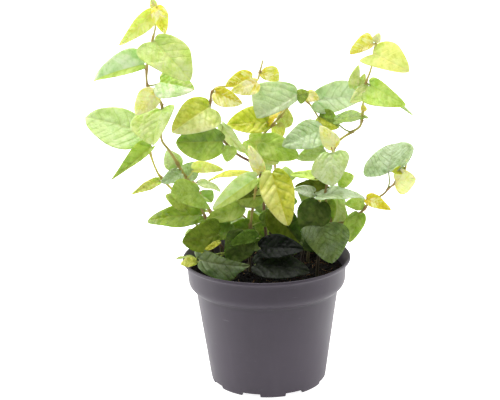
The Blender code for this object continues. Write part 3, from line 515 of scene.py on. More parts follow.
def polar(radius, angle):
    return radius * math.cos(angle), radius * math.sin(angle)


def new_mesh(name, points, faces):
    mesh = bpy.data.meshes.new(name)
    mesh.from_pydata(points, [], faces)
    return mesh


def added(name, data):
    """A new object of the scene with this data."""
    item = bpy.data.objects.new(name, data)
    bpy.context.scene.collection.objects.link(item)
    return item


# Where the plant's points are

def sight(point, lean=0.0):
    """Turn a (right, up, away) point in millimetres into its place in metres."""
    right, up, away = point
    seen = Vector((right, 0.0, up))
    return (EYE + (seen - EYE) * (1.0 + (away + lean) / -EYE.y)) * MM


def lean_at(vine, height):
    """How far away, in millimetres, a vine leans at a height."""
    return vine.lean * max(0.0, height - LEAN_HEIGHT) / 100.0


def stem_points(vine):
    """The stem's points in metres, from its foot in the soil to its growing tip."""
    x, y = vine.root
    return [millimetres(x, y, STEM_FOOT_HEIGHT), millimetres(x, y, SOIL_MIDDLE_HEIGHT + 2.0),
            *(sight(point, lean_at(vine, point[1])) for point in vine.stem)]


def heart(step):
    """A point of the leaf's outline, along and across: step 0 is the notch and 1 the tip."""
    angle = math.pi * (1.0 - step)
    radius = (HEART_RADIUS + HEART_TIP * math.exp(-((angle / HEART_TIP_ANGLE) ** 1.5))
              - HEART_NOTCH * math.exp(-((math.pi - angle) / HEART_NOTCH_ANGLE) ** 2))
    along = HEART_MIDDLE + radius * math.cos(angle)
    across = radius * math.sin(angle) / HEART_HALF_WIDTH
    return along, across


# Foot and midrib of a leaf in metres, and the unit vectors sideways across it and upward from its face
Axes = namedtuple("Axes", "foot midrib side upward")


def leaf_axes(vine, leaf):
    lean = lean_at(vine, leaf.foot[1])
    foot = sight(leaf.foot, lean)
    midrib = sight(leaf.tip, lean) - foot
    along = midrib.normalized()
    view = (EYE * MM - foot - midrib / 2.0).normalized()
    facing = (view - along * view.dot(along)).normalized()
    side = along.cross(facing)
    turn = math.radians(leaf.turn)
    upward = facing * math.cos(turn) + side * math.sin(turn)
    return Axes(foot, midrib, along.cross(upward), upward)


def leaf_point(leaf, axes, step, across, wave=0.0, phase=0.0):
    """A point of the blade's middle surface, and how far sideways and along it lies in leaf lengths."""
    length = axes.midrib.length
    rim_along, rim_across = heart(step)
    spine = step * step
    half = leaf.plus if across > 0.0 else leaf.minus
    reach = rim_across * (1.0 - leaf.point * spine) * half * abs(across) * MM
    shift = (leaf.drift + leaf.skew * math.copysign(1.0, across)) * reach * rim_across / length
    along = spine + (rim_along - spine) * abs(across) + shift
    fold = math.radians(leaf.fold)
    round_fold = FOLD_ROUND * MM
    rise = 4.0 * leaf.arch * along * (1.0 - along) * length
    rise += (math.hypot(reach, round_fold) - round_fold) * math.sin(fold)
    rise -= TIP_DROOP * length * max(0.0, along - DROOP_START) ** 2
    ripple = math.sin(math.tau * (RIPPLES * step + phase) + (RIPPLE_STAGGER if across > 0.0 else 0.0))
    rise += wave * ripple * across * across * MM
    sideways = math.copysign(reach * math.cos(fold), across)
    place = axes.foot + axes.midrib * along + axes.side * sideways + axes.upward * rise
    return place, math.copysign(reach, across) / length, along


# Meshes

class Skin:
    """A mesh in the making: points, faces, and what each point tells its material."""

    def __init__(self):
        self.points = []
        self.faces = []
        self.materials = []
        self.facts = {"place": [], "tone": [], "mottle": [], "marks": [], "reach": []}

    def point(self, spot, place=(0.0, 0.0, 0.0), tone=(0.5, 0.5, 0.5), mottle=None, marks=(0.0, 0.0, 0.0),
              reach=(0.0, 0.0, 0.0)):
        self.points.append(tuple(spot))
        self.facts["place"].append(place)
        self.facts["tone"].append(tone)
        self.facts["mottle"].append(mottle or tone)
        self.facts["marks"].append(marks)
        self.facts["reach"].append(reach)
        return len(self.points) - 1

    def face(self, corners, material=0):
        ring = list(dict.fromkeys(corners))
        if len(ring) > 2:
            self.faces.append(ring)
            self.materials.append(material)

    def tube(self, spots, radii, sides, tones, seed, material=0):
        """A closed tube along spots, with a radius and a colour at each."""
        rings = []
        travelled = 0.0
        normal = None
        for index, spot in enumerate(spots):
            before = spots[max(0, index - 1)]
            after = spots[min(len(spots) - 1, index + 1)]
            ahead = (after - before).normalized()
            if normal is None:
                normal = ahead.orthogonal().normalized()
            normal = (normal - ahead * normal.dot(ahead)).normalized()
            other = ahead.cross(normal)
            travelled += (spot - before).length
            ring = []
            for side in range(sides):
                x, y = polar(1.0, math.tau * side / sides)
                place = (x, y, travelled / MM + seed * 100.0)
                ring.append(self.point(spot + (normal * x + other * y) * radii[index], place, tones[index]))
            rings.append(ring)
        for first, second in zip(rings, rings[1:]):
            for side in range(sides):
                after = (side + 1) % sides
                self.face((first[side], first[after], second[after], second[side]), material)
        self.face(rings[0][::-1], material)
        self.face(rings[-1], material)

    def lump(self, middle, size, shape, turn, tone, material=0):
        """A small rough grain: a jittered icosahedron."""
        first = len(self.points)
        for corner in shape:
            spot = turn @ Vector((corner[0] * size[0], corner[1] * size[1], corner[2] * size[2]))
            self.point(middle + spot, tuple(middle / MM), tone)
        for face in GRAIN_FACES:
            self.face([first + corner for corner in face], material)

    def piece(self, name, materials):
        """The finished object, smooth shaded."""
        mesh = new_mesh(name, self.points, self.faces)
        for material in materials:
            mesh.materials.append(material)
        mesh.polygons.foreach_set("material_index", self.materials)
        mesh.polygons.foreach_set("use_smooth", [True] * len(self.faces))
        for fact, values in self.facts.items():
            layer = mesh.attributes.new(fact, "FLOAT_VECTOR", "POINT")
            layer.data.foreach_set("vector", [part for value in values for part in value])
        mesh.update()
        return added(name, mesh)


def smooth_path(spots, steps):
    """Points along a smooth curve through spots, with the share of the way at each."""
    ends = [spots[0] * 2.0 - spots[1], *spots, spots[-1] * 2.0 - spots[-2]]
    path = []
    for index in range(len(spots) - 1):
        a, b, c, d = ends[index:index + 4]
        for step in range(steps):
            t = step / steps
            spot = 0.5 * (b * 2.0 + (c - a) * t + (a * 2.0 - b * 5.0 + c * 4.0 - d) * t * t
                          + (b * 3.0 - a - c * 3.0 + d) * t ** 3)
            path.append((spot, (index + t) / (len(spots) - 1)))
    path.append((spots[-1], 1.0))
    return path


# Leaves

def vein_gap(across, along):
    """How far a place on the blade is from the nearest side vein, in vein spacings."""
    lateral = abs(across)
    phase = (along - VEIN_RISE * lateral - VEIN_BEND * lateral * lateral) / VEIN_SPACING
    if across < 0.0:
        phase += VEIN_STAGGER
    return abs(phase - round(phase))


def relief(across, along, length, look, seed):
    """How far the blade's upper side stands proud at a place, in millimetres."""
    gap = vein_gap(across, along) * VEIN_SPACING * length
    lateral = abs(across) * length
    puffed = 1.0 - math.exp(-(gap / VEIN_WIDTH) ** 2)
    near_rib = math.exp(-(lateral / MIDRIB_WIDTH) ** 2)
    bubble = sum(height * noise.noise(Vector((across * number, along * number, seed * 90.0)))
                 for height, number in BUBBLES)
    return look.relief * (puffed - 0.5 + BUBBLE_HEIGHT * bubble) * (1.0 - near_rib) - MIDRIB_DEPTH * near_rib


def grid_normal(grid, row, column, upward):
    """The blade's upward normal at a point of its grid."""
    below = grid[max(0, row - 1)][column][0]
    above = grid[min(len(grid) - 1, row + 1)][column][0]
    left = grid[row][max(0, column - 1)][0]
    right = grid[row][min(len(grid[0]) - 1, column + 1)][0]
    normal = (right - left).cross(above - below)
    if normal.length < 1e-12:
        return upward
    normal.normalize()
    return normal if normal.dot(upward) > 0.0 else -normal


Half = namedtuple("Half", "look tone mottle slot")


def half_looks(leaf, shade, warmth):
    """The looks of a leaf's minus half and of its plus half."""
    kinds = leaf.kind.split("/")
    halves = []
    for kind in (kinds[-1], kinds[0]):
        look = LOOKS[kind]
        tone, mottle = ((red * shade * warmth, green * shade, blue * shade / warmth)
                        for red, green, blue in (linear(look.tone), linear(look.mottle)))
        slot = SHADED_LEAF if kind in SHADED_KINDS else YOUNG_LEAF if kind in YOUNG_KINDS else LEAF
        halves.append(Half(look, tone, mottle, slot))
    return halves


def blade_pair(skin, grid, row, column, half, axes, seed):
    """Add the front and the back point of the blade at one place of its grid."""
    spot, across, along = grid[row][column]
    look = half.look
    length = axes.midrib.length / MM
    normal = grid_normal(grid, row, column, axes.upward)
    wander = Vector((across * WANDER_SCALE, along * WANDER_SCALE, seed * 60.0))
    across_seen = across + VEIN_WANDER * noise.noise(wander) * min(1.0, abs(across) * WANDER_RISE)
    along_seen = along + VEIN_WANDER * noise.noise(wander + Vector((7.0, 3.0, 0.0)))
    rib = math.exp(-(across * length / MIDRIB_WIDTH) ** 2)
    outward = abs(2.0 * column / (len(grid[0]) - 1) - 1.0)
    rim = outward ** RIM_SHARPNESS
    height = relief(across_seen, along_seen, length, look, seed) * (1.0 - RIM_FLATNESS * rim)
    thick = BLADE_HALF + RIB_HALF * rib + (RIM_HALF - BLADE_HALF) * rim
    return [skin.point(spot + normal * (height + way * thick) * MM, (across_seen, along_seen, seed),
                       half.tone, half.mottle, (look.cream, look.bloom, under), (outward, look.furrow, 0.0))
            for way, under in ((1.0, 0.0), (-1.0, 1.0))]


def make_blade(skin, leaf, axes, chance):
    """Both sides and the rim of one leaf."""
    seed = chance.random()
    shade = chance.uniform(0.92, 1.08)
    warmth = chance.uniform(0.95, 1.05)
    halves = half_looks(leaf, shade, warmth)
    rows = max(12, min(40, round(axes.midrib.length / MM / CELL_SIZE)))
    columns = 2 * max(5, min(14, round((leaf.plus + leaf.minus) / 2.0 / CELL_SIZE)))
    grid = [[leaf_point(leaf, axes, row / rows, 2.0 * column / columns - 1.0, halves[1].look.wave, seed)
             for column in range(columns + 1)] for row in range(rows + 1)]
    front = []
    back = []
    for row in range(rows + 1):
        if row in (0, rows):
            pairs = [blade_pair(skin, grid, row, 0, halves[0], axes, seed)] * (columns + 1)
        else:
            pairs = [blade_pair(skin, grid, row, column, halves[2 * column > columns], axes, seed)
                     for column in range(columns + 1)]
        front.append([pair[0] for pair in pairs])
        back.append([pair[1] for pair in pairs])
    for row in range(rows):
        for column in range(columns):
            ring = ((row, column), (row, column + 1), (row + 1, column + 1), (row + 1, column))
            slot = halves[2 * column >= columns].slot
            skin.face([front[r][c] for r, c in ring], slot)
            skin.face([back[r][c] for r, c in reversed(ring)], slot)
        for column, order in ((0, 1), (columns, -1)):
            skin.face([front[row + 1][column], back[row + 1][column],
                       back[row][column], front[row][column]][::order], halves[column > 0].slot)


def make_petiole(skin, leaf, axes, start, chance):
    """The leaf's stalk, from inside the stem to the notch, and on as a raised rib under the midrib."""
    upward = axes.upward
    entry = axes.foot - upward * PETIOLE_DROP * MM
    inner = leaf_point(leaf, axes, PETIOLE_END, 0.0)[0] - upward * PETIOLE_SINK * MM
    bow = (entry - start).length * PETIOLE_BOW
    middle = (start + entry) / 2.0 - upward * bow
    spots = [spot for spot, share in smooth_path([start, middle, entry, inner], PETIOLE_STEPS)]
    radii = [PETIOLE_RADIUS * (1.0 + PETIOLE_FLARE * math.exp(-index / 1.5)) * MM
             for index in range(2 * PETIOLE_STEPS + 1)]
    taper = PETIOLE_RADIUS - PETIOLE_END_RADIUS
    radii += [(PETIOLE_RADIUS - taper * step / PETIOLE_STEPS) * MM for step in range(1, PETIOLE_STEPS + 1)]
    for step in RIB_STEPS:
        spots.append(leaf_point(leaf, axes, step, 0.0)[0] - upward * RIB_SINK * MM)
        radii.append((PETIOLE_END_RADIUS - RIB_TAPER * step) * MM)
    look = LOOKS[leaf.kind.split("/")[0]]
    blade = blended(linear(look.mottle), linear(UNDERSIDE), 0.4)
    tones = [blended(linear(PETIOLE_TONE), blade, min(1.0, index / 12.0)) for index in range(len(spots))]
    skin.tube(spots, radii, 8, tones, chance.random(), BARK_PART)


def any_side(ahead, chance):
    """A direction square to ahead, turned by a random angle."""
    outward = ahead.orthogonal().normalized()
    outward.rotate(Matrix.Rotation(chance.uniform(0.0, math.tau), 3, ahead))
    return outward


def make_scales(skin, spot, ahead, size, chance):
    """The small pointed scales and rootlets at a node of the stem."""
    for number in range(SCALE_COUNT):
        outward = any_side(ahead, chance)
        reach = chance.uniform(*SCALE_REACH) * MM
        tip = spot + (ahead * 0.8 + outward * 0.7) * reach
        spots = [spot + outward * size * 0.4, spot + (outward * 0.9 + ahead * 0.6) * reach * 0.6, tip]
        radii = [radius * MM for radius in SCALE_RADII]
        skin.tube(spots, radii, 6, [linear(SCALE_TONE)] * len(spots), chance.random(), BARK_PART)
    for number in range(chance.choice((0, 1, 2))):
        outward = any_side(ahead, chance)
        spots = [spot]
        for step in range(3):
            bend = Vector((chance.uniform(-0.5, 0.5), chance.uniform(-0.5, 0.5), -0.25))
            outward = (outward + bend).normalized()
            spots.append(spots[-1] + outward * chance.uniform(*ROOTLET_REACH) * MM)
        radii = [radius * MM for radius in ROOTLET_RADII]
        skin.tube(spots, radii, 5, [linear(BARK)] * len(spots), chance.random(), BARK_PART)


def stem_tone(vine, spot, share, swell):
    """The stem's colour: share is how far up it the spot is, and swell how near to a node."""
    youth = clamped((share - 0.5) * 2.2)
    tone = blended(linear(BARK), linear(YOUNG_STEM), youth * 0.8)
    brown = clamped(0.5 + 1.6 * noise.noise(spot / MM * 0.05))
    tone = blended(tone, linear(BARK_BROWN), brown * (1.0 - 0.5 * youth))
    tone = blended(tone, linear(GREEN_STEM), vine.green)
    tone = blended(tone, blended(linear(BARK_DARK), linear(YOUNG_NODE), youth), 0.5 * swell)
    tone = blended(tone, linear(YOUNG_STEM), max(0.0, share - 0.9) * 10.0)
    # Darker towards the soil: painted shade under the leaves
    low = clamped((STEM_CLEAR_HEIGHT - spot.z / MM) / STEM_DARK_SPAN)
    return blended(tone, linear(BARK_SHADE), 0.9 * low)


def make_stem(skin, vine, chance):
    """The stem with its swollen nodes, scales and the bud at its end."""
    spine = stem_points(vine)
    nodes = {leaf.node + 2 for leaf in vine.leaves}
    spots = []
    radii = []
    tones = []
    for spot, share in smooth_path(spine, STEM_STEPS):
        where = share * (len(spine) - 1)
        swell = max(math.exp(-((where - node) * NODE_SHARPNESS) ** 2) for node in nodes)
        radius = STEM_FOOT_RADIUS + (STEM_TIP_RADIUS - STEM_FOOT_RADIUS) * share ** STEM_TAPER
        rough = 1.0 + STEM_ROUGHNESS * noise.noise(spot / MM * 0.35)
        spots.append(spot)
        radii.append(radius * STEM_ROUND * (1.0 + NODE_SWELL * swell) * rough * MM)
        tones.append(stem_tone(vine, spot, share, swell))
    ahead = (spots[-1] - spots[-2]).normalized()
    for reach, share in BUD_RINGS:
        spots.append(spots[-1] + ahead * BUD_LENGTH * (reach / BUD_REACHES) * MM)
        radii.append(STEM_TIP_RADIUS * share * MM)
        tones.append(linear(YOUNG_STEM))
    skin.tube(spots, radii, STEM_SIDES, tones, chance.random(), BARK_PART)
    for node in sorted(nodes):
        if node > 2:
            ahead = (spine[node] - spine[node - 1]).normalized()
            make_scales(skin, spine[node], ahead, STEM_FOOT_RADIUS * MM, chance)


def make_vine(vine, materials):
    chance = random.Random(vine.name)
    skin = Skin()
    make_stem(skin, vine, chance)
    spine = stem_points(vine)
    for leaf in vine.leaves:
        axes = leaf_axes(vine, leaf)
        make_petiole(skin, leaf, axes, spine[leaf.node + 2], chance)
        make_blade(skin, leaf, axes, chance)
    return skin.piece(vine.name + "_living", materials)


# Pot

def pot_profile():
    """Inner side from the middle of the floor up to the lip, then the outer side down to the pad,
    as (radius, height, how far the corner is rounded)."""
    floor_top = FLOOR_HEIGHT + FLOOR_THICKNESS
    collar_foot = POT_HEIGHT - COLLAR_DEPTH
    inner_collar = COLLAR_RADIUS - WALL_THICKNESS
    return (
        (0.0, floor_top, 0.0),
        (WALL_FOOT_RADIUS - WALL_THICKNESS - 0.9, floor_top, 1.0),
        (WALL_FOOT_RADIUS - WALL_THICKNESS + 0.4, floor_top + 1.6, 1.0),
        (WALL_TOP_RADIUS - WALL_THICKNESS, collar_foot - 2.8, 1.5),
        (inner_collar - 0.8, collar_foot + 1.2, 1.5),
        (inner_collar + 0.4, POT_HEIGHT - 5.0, 2.0),
        (LIP_RADIUS - 2.2, POT_HEIGHT - 0.9, 1.2),
        (LIP_RADIUS - 1.5, POT_HEIGHT, 0.5),
        (LIP_RADIUS - 0.5, POT_HEIGHT, 0.5),
        (LIP_RADIUS - 0.2, POT_HEIGHT - 0.6, 0.3),
        (LIP_RADIUS - 0.2, POT_HEIGHT - 1.9, 0.5),
        (COLLAR_RADIUS + 0.9, POT_HEIGHT - 3.2, 1.2),
        (COLLAR_RADIUS + 0.5, POT_HEIGHT - 6.0, 2.0),
        (COLLAR_RADIUS, collar_foot + 3.0, 2.0),
        (COLLAR_RADIUS - 0.8, collar_foot + 0.2, 1.4),
        (COLLAR_RADIUS - 2.4, collar_foot - 1.6, 1.2),
        (WALL_TOP_RADIUS + 0.5, collar_foot - 3.2, 1.4),
        (WALL_TOP_RADIUS, collar_foot - 4.6, 1.0),
        (WALL_FOOT_RADIUS, FLOOR_HEIGHT, 2.0),
        (WALL_FOOT_RADIUS - 0.7, 0.7, 0.6),
        (WALL_FOOT_RADIUS - 1.6, 0.0, 0.3),
        (WALL_FOOT_RADIUS - 4.0, 0.0, 0.3),
        (WALL_FOOT_RADIUS - 4.2, FLOOR_HEIGHT, 0.6),
        (PAD_RADIUS + 1.0, FLOOR_HEIGHT, 0.6),
        (PAD_RADIUS, 0.0, 0.4),
        (0.0, 0.0, 0.0),
    )


def rounded(profile):
    """The profile's (radius, height) points with each corner turned into a short arc."""
    points = []
    for index, (radius, height, size) in enumerate(profile):
        corner = Vector((radius, height))
        if size == 0.0:
            points.append(corner)
            continue
        arms = [Vector(profile[index + way][:2]) - corner for way in (-1, 1)]
        start, end = (corner + arm.normalized() * min(size, arm.length * 0.45) for arm in arms)
        for step in range(CORNER_STEPS + 1):
            t = step / CORNER_STEPS
            points.append(start * (1.0 - t) ** 2 + corner * 2.0 * t * (1.0 - t) + end * t * t)
    return points


def turned_piece(name, points, sides):
    """A closed solid made by turning points (radius, height), in millimetres, about the Z axis."""
    verts = []
    rings = []
    for radius, height in points:
        if radius < 0.001:
            rings.append([len(verts)] * sides)
            verts.append((0.0, 0.0, height * MM))
            continue
        rings.append(list(range(len(verts), len(verts) + sides)))
        for side in range(sides):
            x, y = polar(radius, math.tau * side / sides)
            verts.append((x * MM, y * MM, height * MM))
    faces = []
    for first, second in zip(rings, rings[1:]):
        for side in range(sides):
            after = (side + 1) % sides
            faces.append(list(dict.fromkeys((first[side], second[side], second[after], first[after]))))
    mesh = new_mesh(name, verts, faces)
    mesh.update()
    return added(name, mesh)


def cutter(name, points, low, high, group):
    """An upright prism over (x, y) points in millimetres, between two heights."""
    count = len(points)
    verts = [(x * MM, y * MM, z * MM) for z in (low, high) for x, y in points]
    faces = [list(range(count))[::-1], list(range(count, 2 * count))]
    faces += [(i, (i + 1) % count, count + (i + 1) % count, count + i) for i in range(count)]
    group.objects.link(bpy.data.objects.new(name, new_mesh(name, verts, faces)))


def pot_cutters(group):
    """The notches of the foot ring and the drain holes of the floor."""
    foot_radius = WALL_FOOT_RADIUS - 2.0
    for index in range(NOTCH_COUNT):
        angle = math.radians(NOTCH_FIRST_ANGLE + index * 360.0 / NOTCH_COUNT)
        outward = Vector((math.sin(angle), -math.cos(angle)))
        sideways = Vector((math.cos(angle), math.sin(angle)))
        notch = [outward * (foot_radius + out * NOTCH_HALF_DEPTH) + sideways * wide * NOTCH_WIDTH / 2.0
                 for out, wide in ((-1.0, 1.0), (-1.0, -1.0), (1.0, -1.0), (1.0, 1.0))]
        cutter(f"notch_{index}", [tuple(point) for point in notch], -FLOOR_HEIGHT, FLOOR_HEIGHT - 0.2, group)
        middle = outward * DRAIN_RING_RADIUS
        round_points = [polar(DRAIN_RADIUS, math.tau * side / DRAIN_SIDES) for side in range(DRAIN_SIDES)]
        cutter(f"drain_{index}", [(middle.x + x, middle.y + y) for x, y in round_points], 1.0, 8.0, group)


def make_pot(material):
    pot = turned_piece("pot_moulded", rounded(pot_profile()), POT_SIDES)
    group = bpy.data.collections.new("pot_cutters")
    bpy.context.scene.collection.children.link(group)
    pot_cutters(group)
    cut = pot.modifiers.new("cut", "BOOLEAN")
    cut.operation = "DIFFERENCE"
    cut.operand_type = "COLLECTION"
    cut.collection = group
    cut.solver = "EXACT"
    bpy.context.view_layer.update()
    mesh = bpy.data.meshes.new_from_object(pot.evaluated_get(bpy.context.evaluated_depsgraph_get()))
    pot.modifiers.clear()
    pot.data = mesh
    for part in list(group.objects):
        bpy.data.objects.remove(part, do_unlink=True)
    bpy.data.collections.remove(group)
    mesh.materials.clear()
    mesh.materials.append(material)
    mesh.polygons.foreach_set("use_smooth", [True] * len(mesh.polygons))
    mesh.set_sharp_from_angle(angle=math.radians(SHARP_ANGLE))
    return pot


# Soil

def soil_height(x, y):
    """The height of the soil's top at a place, in millimetres."""
    inner_collar = COLLAR_RADIUS - WALL_THICKNESS - GAP
    radius = math.hypot(x, y)
    height = SOIL_MIDDLE_HEIGHT - (SOIL_MIDDLE_HEIGHT - SOIL_EDGE_HEIGHT) * (radius / inner_collar) ** 2
    height += SOIL_BUMP * math.sin(0.21 * x + 1.0) * math.cos(0.17 * y)
    height += 0.9 * noise.noise(Vector((x, y, 0.0)) * 0.16) + 0.5 * noise.noise(Vector((x, y, 9.0)) * 0.45)
    return height + 0.25 * noise.noise(Vector((x, y, 4.0)) * 1.1)


def soil_spot(reach, chance):
    """A random place within reach of the soil's middle, in millimetres."""
    return polar(reach * math.sqrt(chance.random()), chance.uniform(0.0, math.tau))


def soil_body(skin, edge):
    """The body of the soil, with its top in rings from the middle to the edge."""
    floor_top = FLOOR_HEIGHT + FLOOR_THICKNESS + GAP
    collar_foot = POT_HEIGHT - COLLAR_DEPTH
    inner_foot = WALL_FOOT_RADIUS - WALL_THICKNESS - GAP
    outline = [(edge * (ring / SOIL_RINGS) ** 0.85, None) for ring in range(SOIL_RINGS + 1)]
    outline += [(edge - 1.0, collar_foot + 1.0),
                (WALL_TOP_RADIUS - WALL_THICKNESS - GAP - 0.2, collar_foot - 3.0),
                (inner_foot, floor_top + 1.8), (inner_foot - 1.2, floor_top), (0.0, floor_top)]
    rings = []
    for radius, height in outline:
        ring = []
        for side in range(SOIL_SIDES if radius > 0.0 else 1):
            x, y = polar(radius, math.tau * side / SOIL_SIDES)
            z = soil_height(x, y) if height is None else height
            ring.append(skin.point(millimetres(x, y, z), (x, y, z), linear(SOIL_TONES[0])))
        rings.append(ring if radius > 0.0 else ring * SOIL_SIDES)
    for first, second in zip(rings, rings[1:]):
        for side in range(SOIL_SIDES):
            after = (side + 1) % SOIL_SIDES
            skin.face((first[side], second[side], second[after], first[after]))


def soil_grain(skin, edge, chip, chance):
    """A crumb of the soil, or a flatter and larger chip."""
    x, y = soil_spot(edge - 1.5, chance)
    size = chance.uniform(*CHIP_SIZES) if chip else CRUMB_SMALLEST + CRUMB_RANGE * chance.random() ** 2.5
    shape = [corner * chance.uniform(0.7, 1.25) for corner in GRAIN_CORNERS]
    spread = (size, size * chance.uniform(0.5, 0.9), size * (chance.uniform(0.2, 0.4) if chip else 0.75))
    turn = Matrix.Rotation(chance.uniform(0.0, math.tau), 3, "Z")
    turn = turn @ Matrix.Rotation(chance.uniform(-0.5, 0.5), 3, "X")
    middle = millimetres(x, y, soil_height(x, y) + spread[2] * 0.45)
    skin.lump(middle, millimetres(*spread), shape, turn, linear(chance.choice(SOIL_TONES)))


def soil_fibre(skin, edge, chance):
    """A thin bent fibre that lies on the soil."""
    x, y = soil_spot(edge - 6.0, chance)
    heading = chance.uniform(0.0, math.tau)
    spots = []
    for step in range(FIBRE_STEPS):
        spots.append(millimetres(x, y, soil_height(x, y) + 0.35 + 0.4 * chance.random()))
        heading += chance.uniform(-0.6, 0.6)
        ahead = polar(chance.uniform(0.5, 1.3), heading)
        x, y = x + ahead[0], y + ahead[1]
    radii = [FIBRE_RADIUS * MM] * len(spots)
    skin.tube(spots, radii, 5, [linear(chance.choice(FIBRE_TONES))] * len(spots), chance.random())


def make_soil(materials):
    chance = random.Random(SOIL_SEED)
    skin = Skin()
    edge = COLLAR_RADIUS - WALL_THICKNESS - GAP - 0.1
    soil_body(skin, edge)
    for number in range(CRUMB_COUNT + CHIP_COUNT):
        soil_grain(skin, edge, number >= CRUMB_COUNT, chance)
    for number in range(FIBRE_COUNT):
        soil_fibre(skin, edge, chance)
    return skin.piece("soil_crumbly", materials)


def grain_shape():
    """The corners and faces of an icosahedron of radius 1."""
    golden = (1.0 + math.sqrt(5.0)) / 2.0
    longest_side = 1.1
    corners = []
    for first in (-1.0, 1.0):
        for second in (-golden, golden):
            for corner in ((0.0, first, second), (first, second, 0.0), (second, 0.0, first)):
                corners.append(Vector(corner).normalized())
    faces = []
    for a, b, c in itertools.combinations(range(12), 3):
        trio = (corners[a], corners[b], corners[c])
        if max((trio[i] - trio[i - 1]).length for i in range(3)) < longest_side:
            outward = (trio[1] - trio[0]).cross(trio[2] - trio[0]).dot(trio[0]) > 0.0
            faces.append((a, b, c) if outward else (a, c, b))
    return corners, faces


GRAIN_CORNERS, GRAIN_FACES = grain_shape()


# Materials

class Graph:
    """The nodes of one material. Most methods add a node and give back its output."""

    def __init__(self, name):
        self.material = bpy.data.materials.new(name)
        self.material.use_nodes = True
        self.tree = self.material.node_tree
        self.shader = self.tree.nodes["Principled BSDF"]

    def put(self, socket, value):
        if isinstance(value, bpy.types.NodeSocket):
            self.tree.links.new(value, socket)
        elif socket.type == "RGBA":
            socket.default_value = (*value, 1.0)
        else:
            socket.default_value = value

    def node(self, kind, inputs=(), **settings):
        made = self.tree.nodes.new("ShaderNode" + kind)
        for key, value in settings.items():
            setattr(made, key, value)
        for key, value in inputs:
            self.put(made.inputs[key], value)
        return made

    def math(self, operation, *values):
        return self.node("Math", enumerate(values), operation=operation).outputs[0]

    def times(self, first, second):
        return self.math("MULTIPLY", first, second)

    def mix(self, factor, first, second, blend="MIX"):
        made = self.node("Mix", ((0, factor), (6, first), (7, second)), data_type="RGBA", blend_type=blend)
        return made.outputs[2]

    def tinted(self, colour, tint):
        return self.mix(1.0, colour, tint, "MULTIPLY")

    def noise(self, where, scale, detail=3.0, roughness=0.55):
        inputs = (("Vector", where), ("Scale", scale), ("Detail", detail), ("Roughness", roughness))
        return self.node("TexNoise", inputs).outputs[0]

    def between(self, value, low, high, start=0.0, end=1.0):
        """value taken smoothly from low and high to start and end."""
        inputs = enumerate((value, low, high, start, end))
        return self.node("MapRange", inputs, interpolation_type="SMOOTHSTEP").outputs[0]

    def fading(self, value, low, high):
        """1 where value is low, falling smoothly to 0 where it is high."""
        return self.between(value, low, high, 1.0, 0.0)

    def fact(self, name):
        return self.node("Attribute", attribute_name=name).outputs["Vector"]

    def parts(self, vector):
        return self.node("SeparateXYZ", ((0, vector),)).outputs

    def stretched(self, vector, scale):
        return self.node("Mapping", (("Vector", vector), ("Scale", scale))).outputs[0]

    def bump(self, height, distance, strength=1.0):
        inputs = (("Height", height), ("Distance", distance), ("Strength", strength))
        return self.node("Bump", inputs).outputs[0]

    def finish(self, **inputs):
        for name, value in inputs.items():
            self.put(self.shader.inputs[name.replace("_", " ").title().replace("Ior", "IOR")], value)
        return self.material


def leaf_veins(g, place, across, along, lateral):
    """The running number of the side vein at a place, and the shares of vein and of furrow there; shade is
    painted in the furrow.
    """
    bend = g.times(g.times(lateral, lateral), VEIN_BEND)
    rise = g.math("MULTIPLY_ADD", lateral, VEIN_RISE, bend)
    left = g.times(g.math("LESS_THAN", across, 0.0), VEIN_STAGGER)
    phase = g.math("ADD", g.math("DIVIDE", g.math("SUBTRACT", along, rise), VEIN_SPACING), left)
    gap = g.math("PINGPONG", phase, 0.5)
    clear = g.between(g.noise(place, 4.0, 2.0), 0.36, 0.60, 0.30, 1.0)
    vein = g.times(g.fading(gap, *VEIN_SPAN), clear)
    furrow = g.times(g.fading(gap, *FURROW_SPAN), clear)
    return phase, vein, furrow


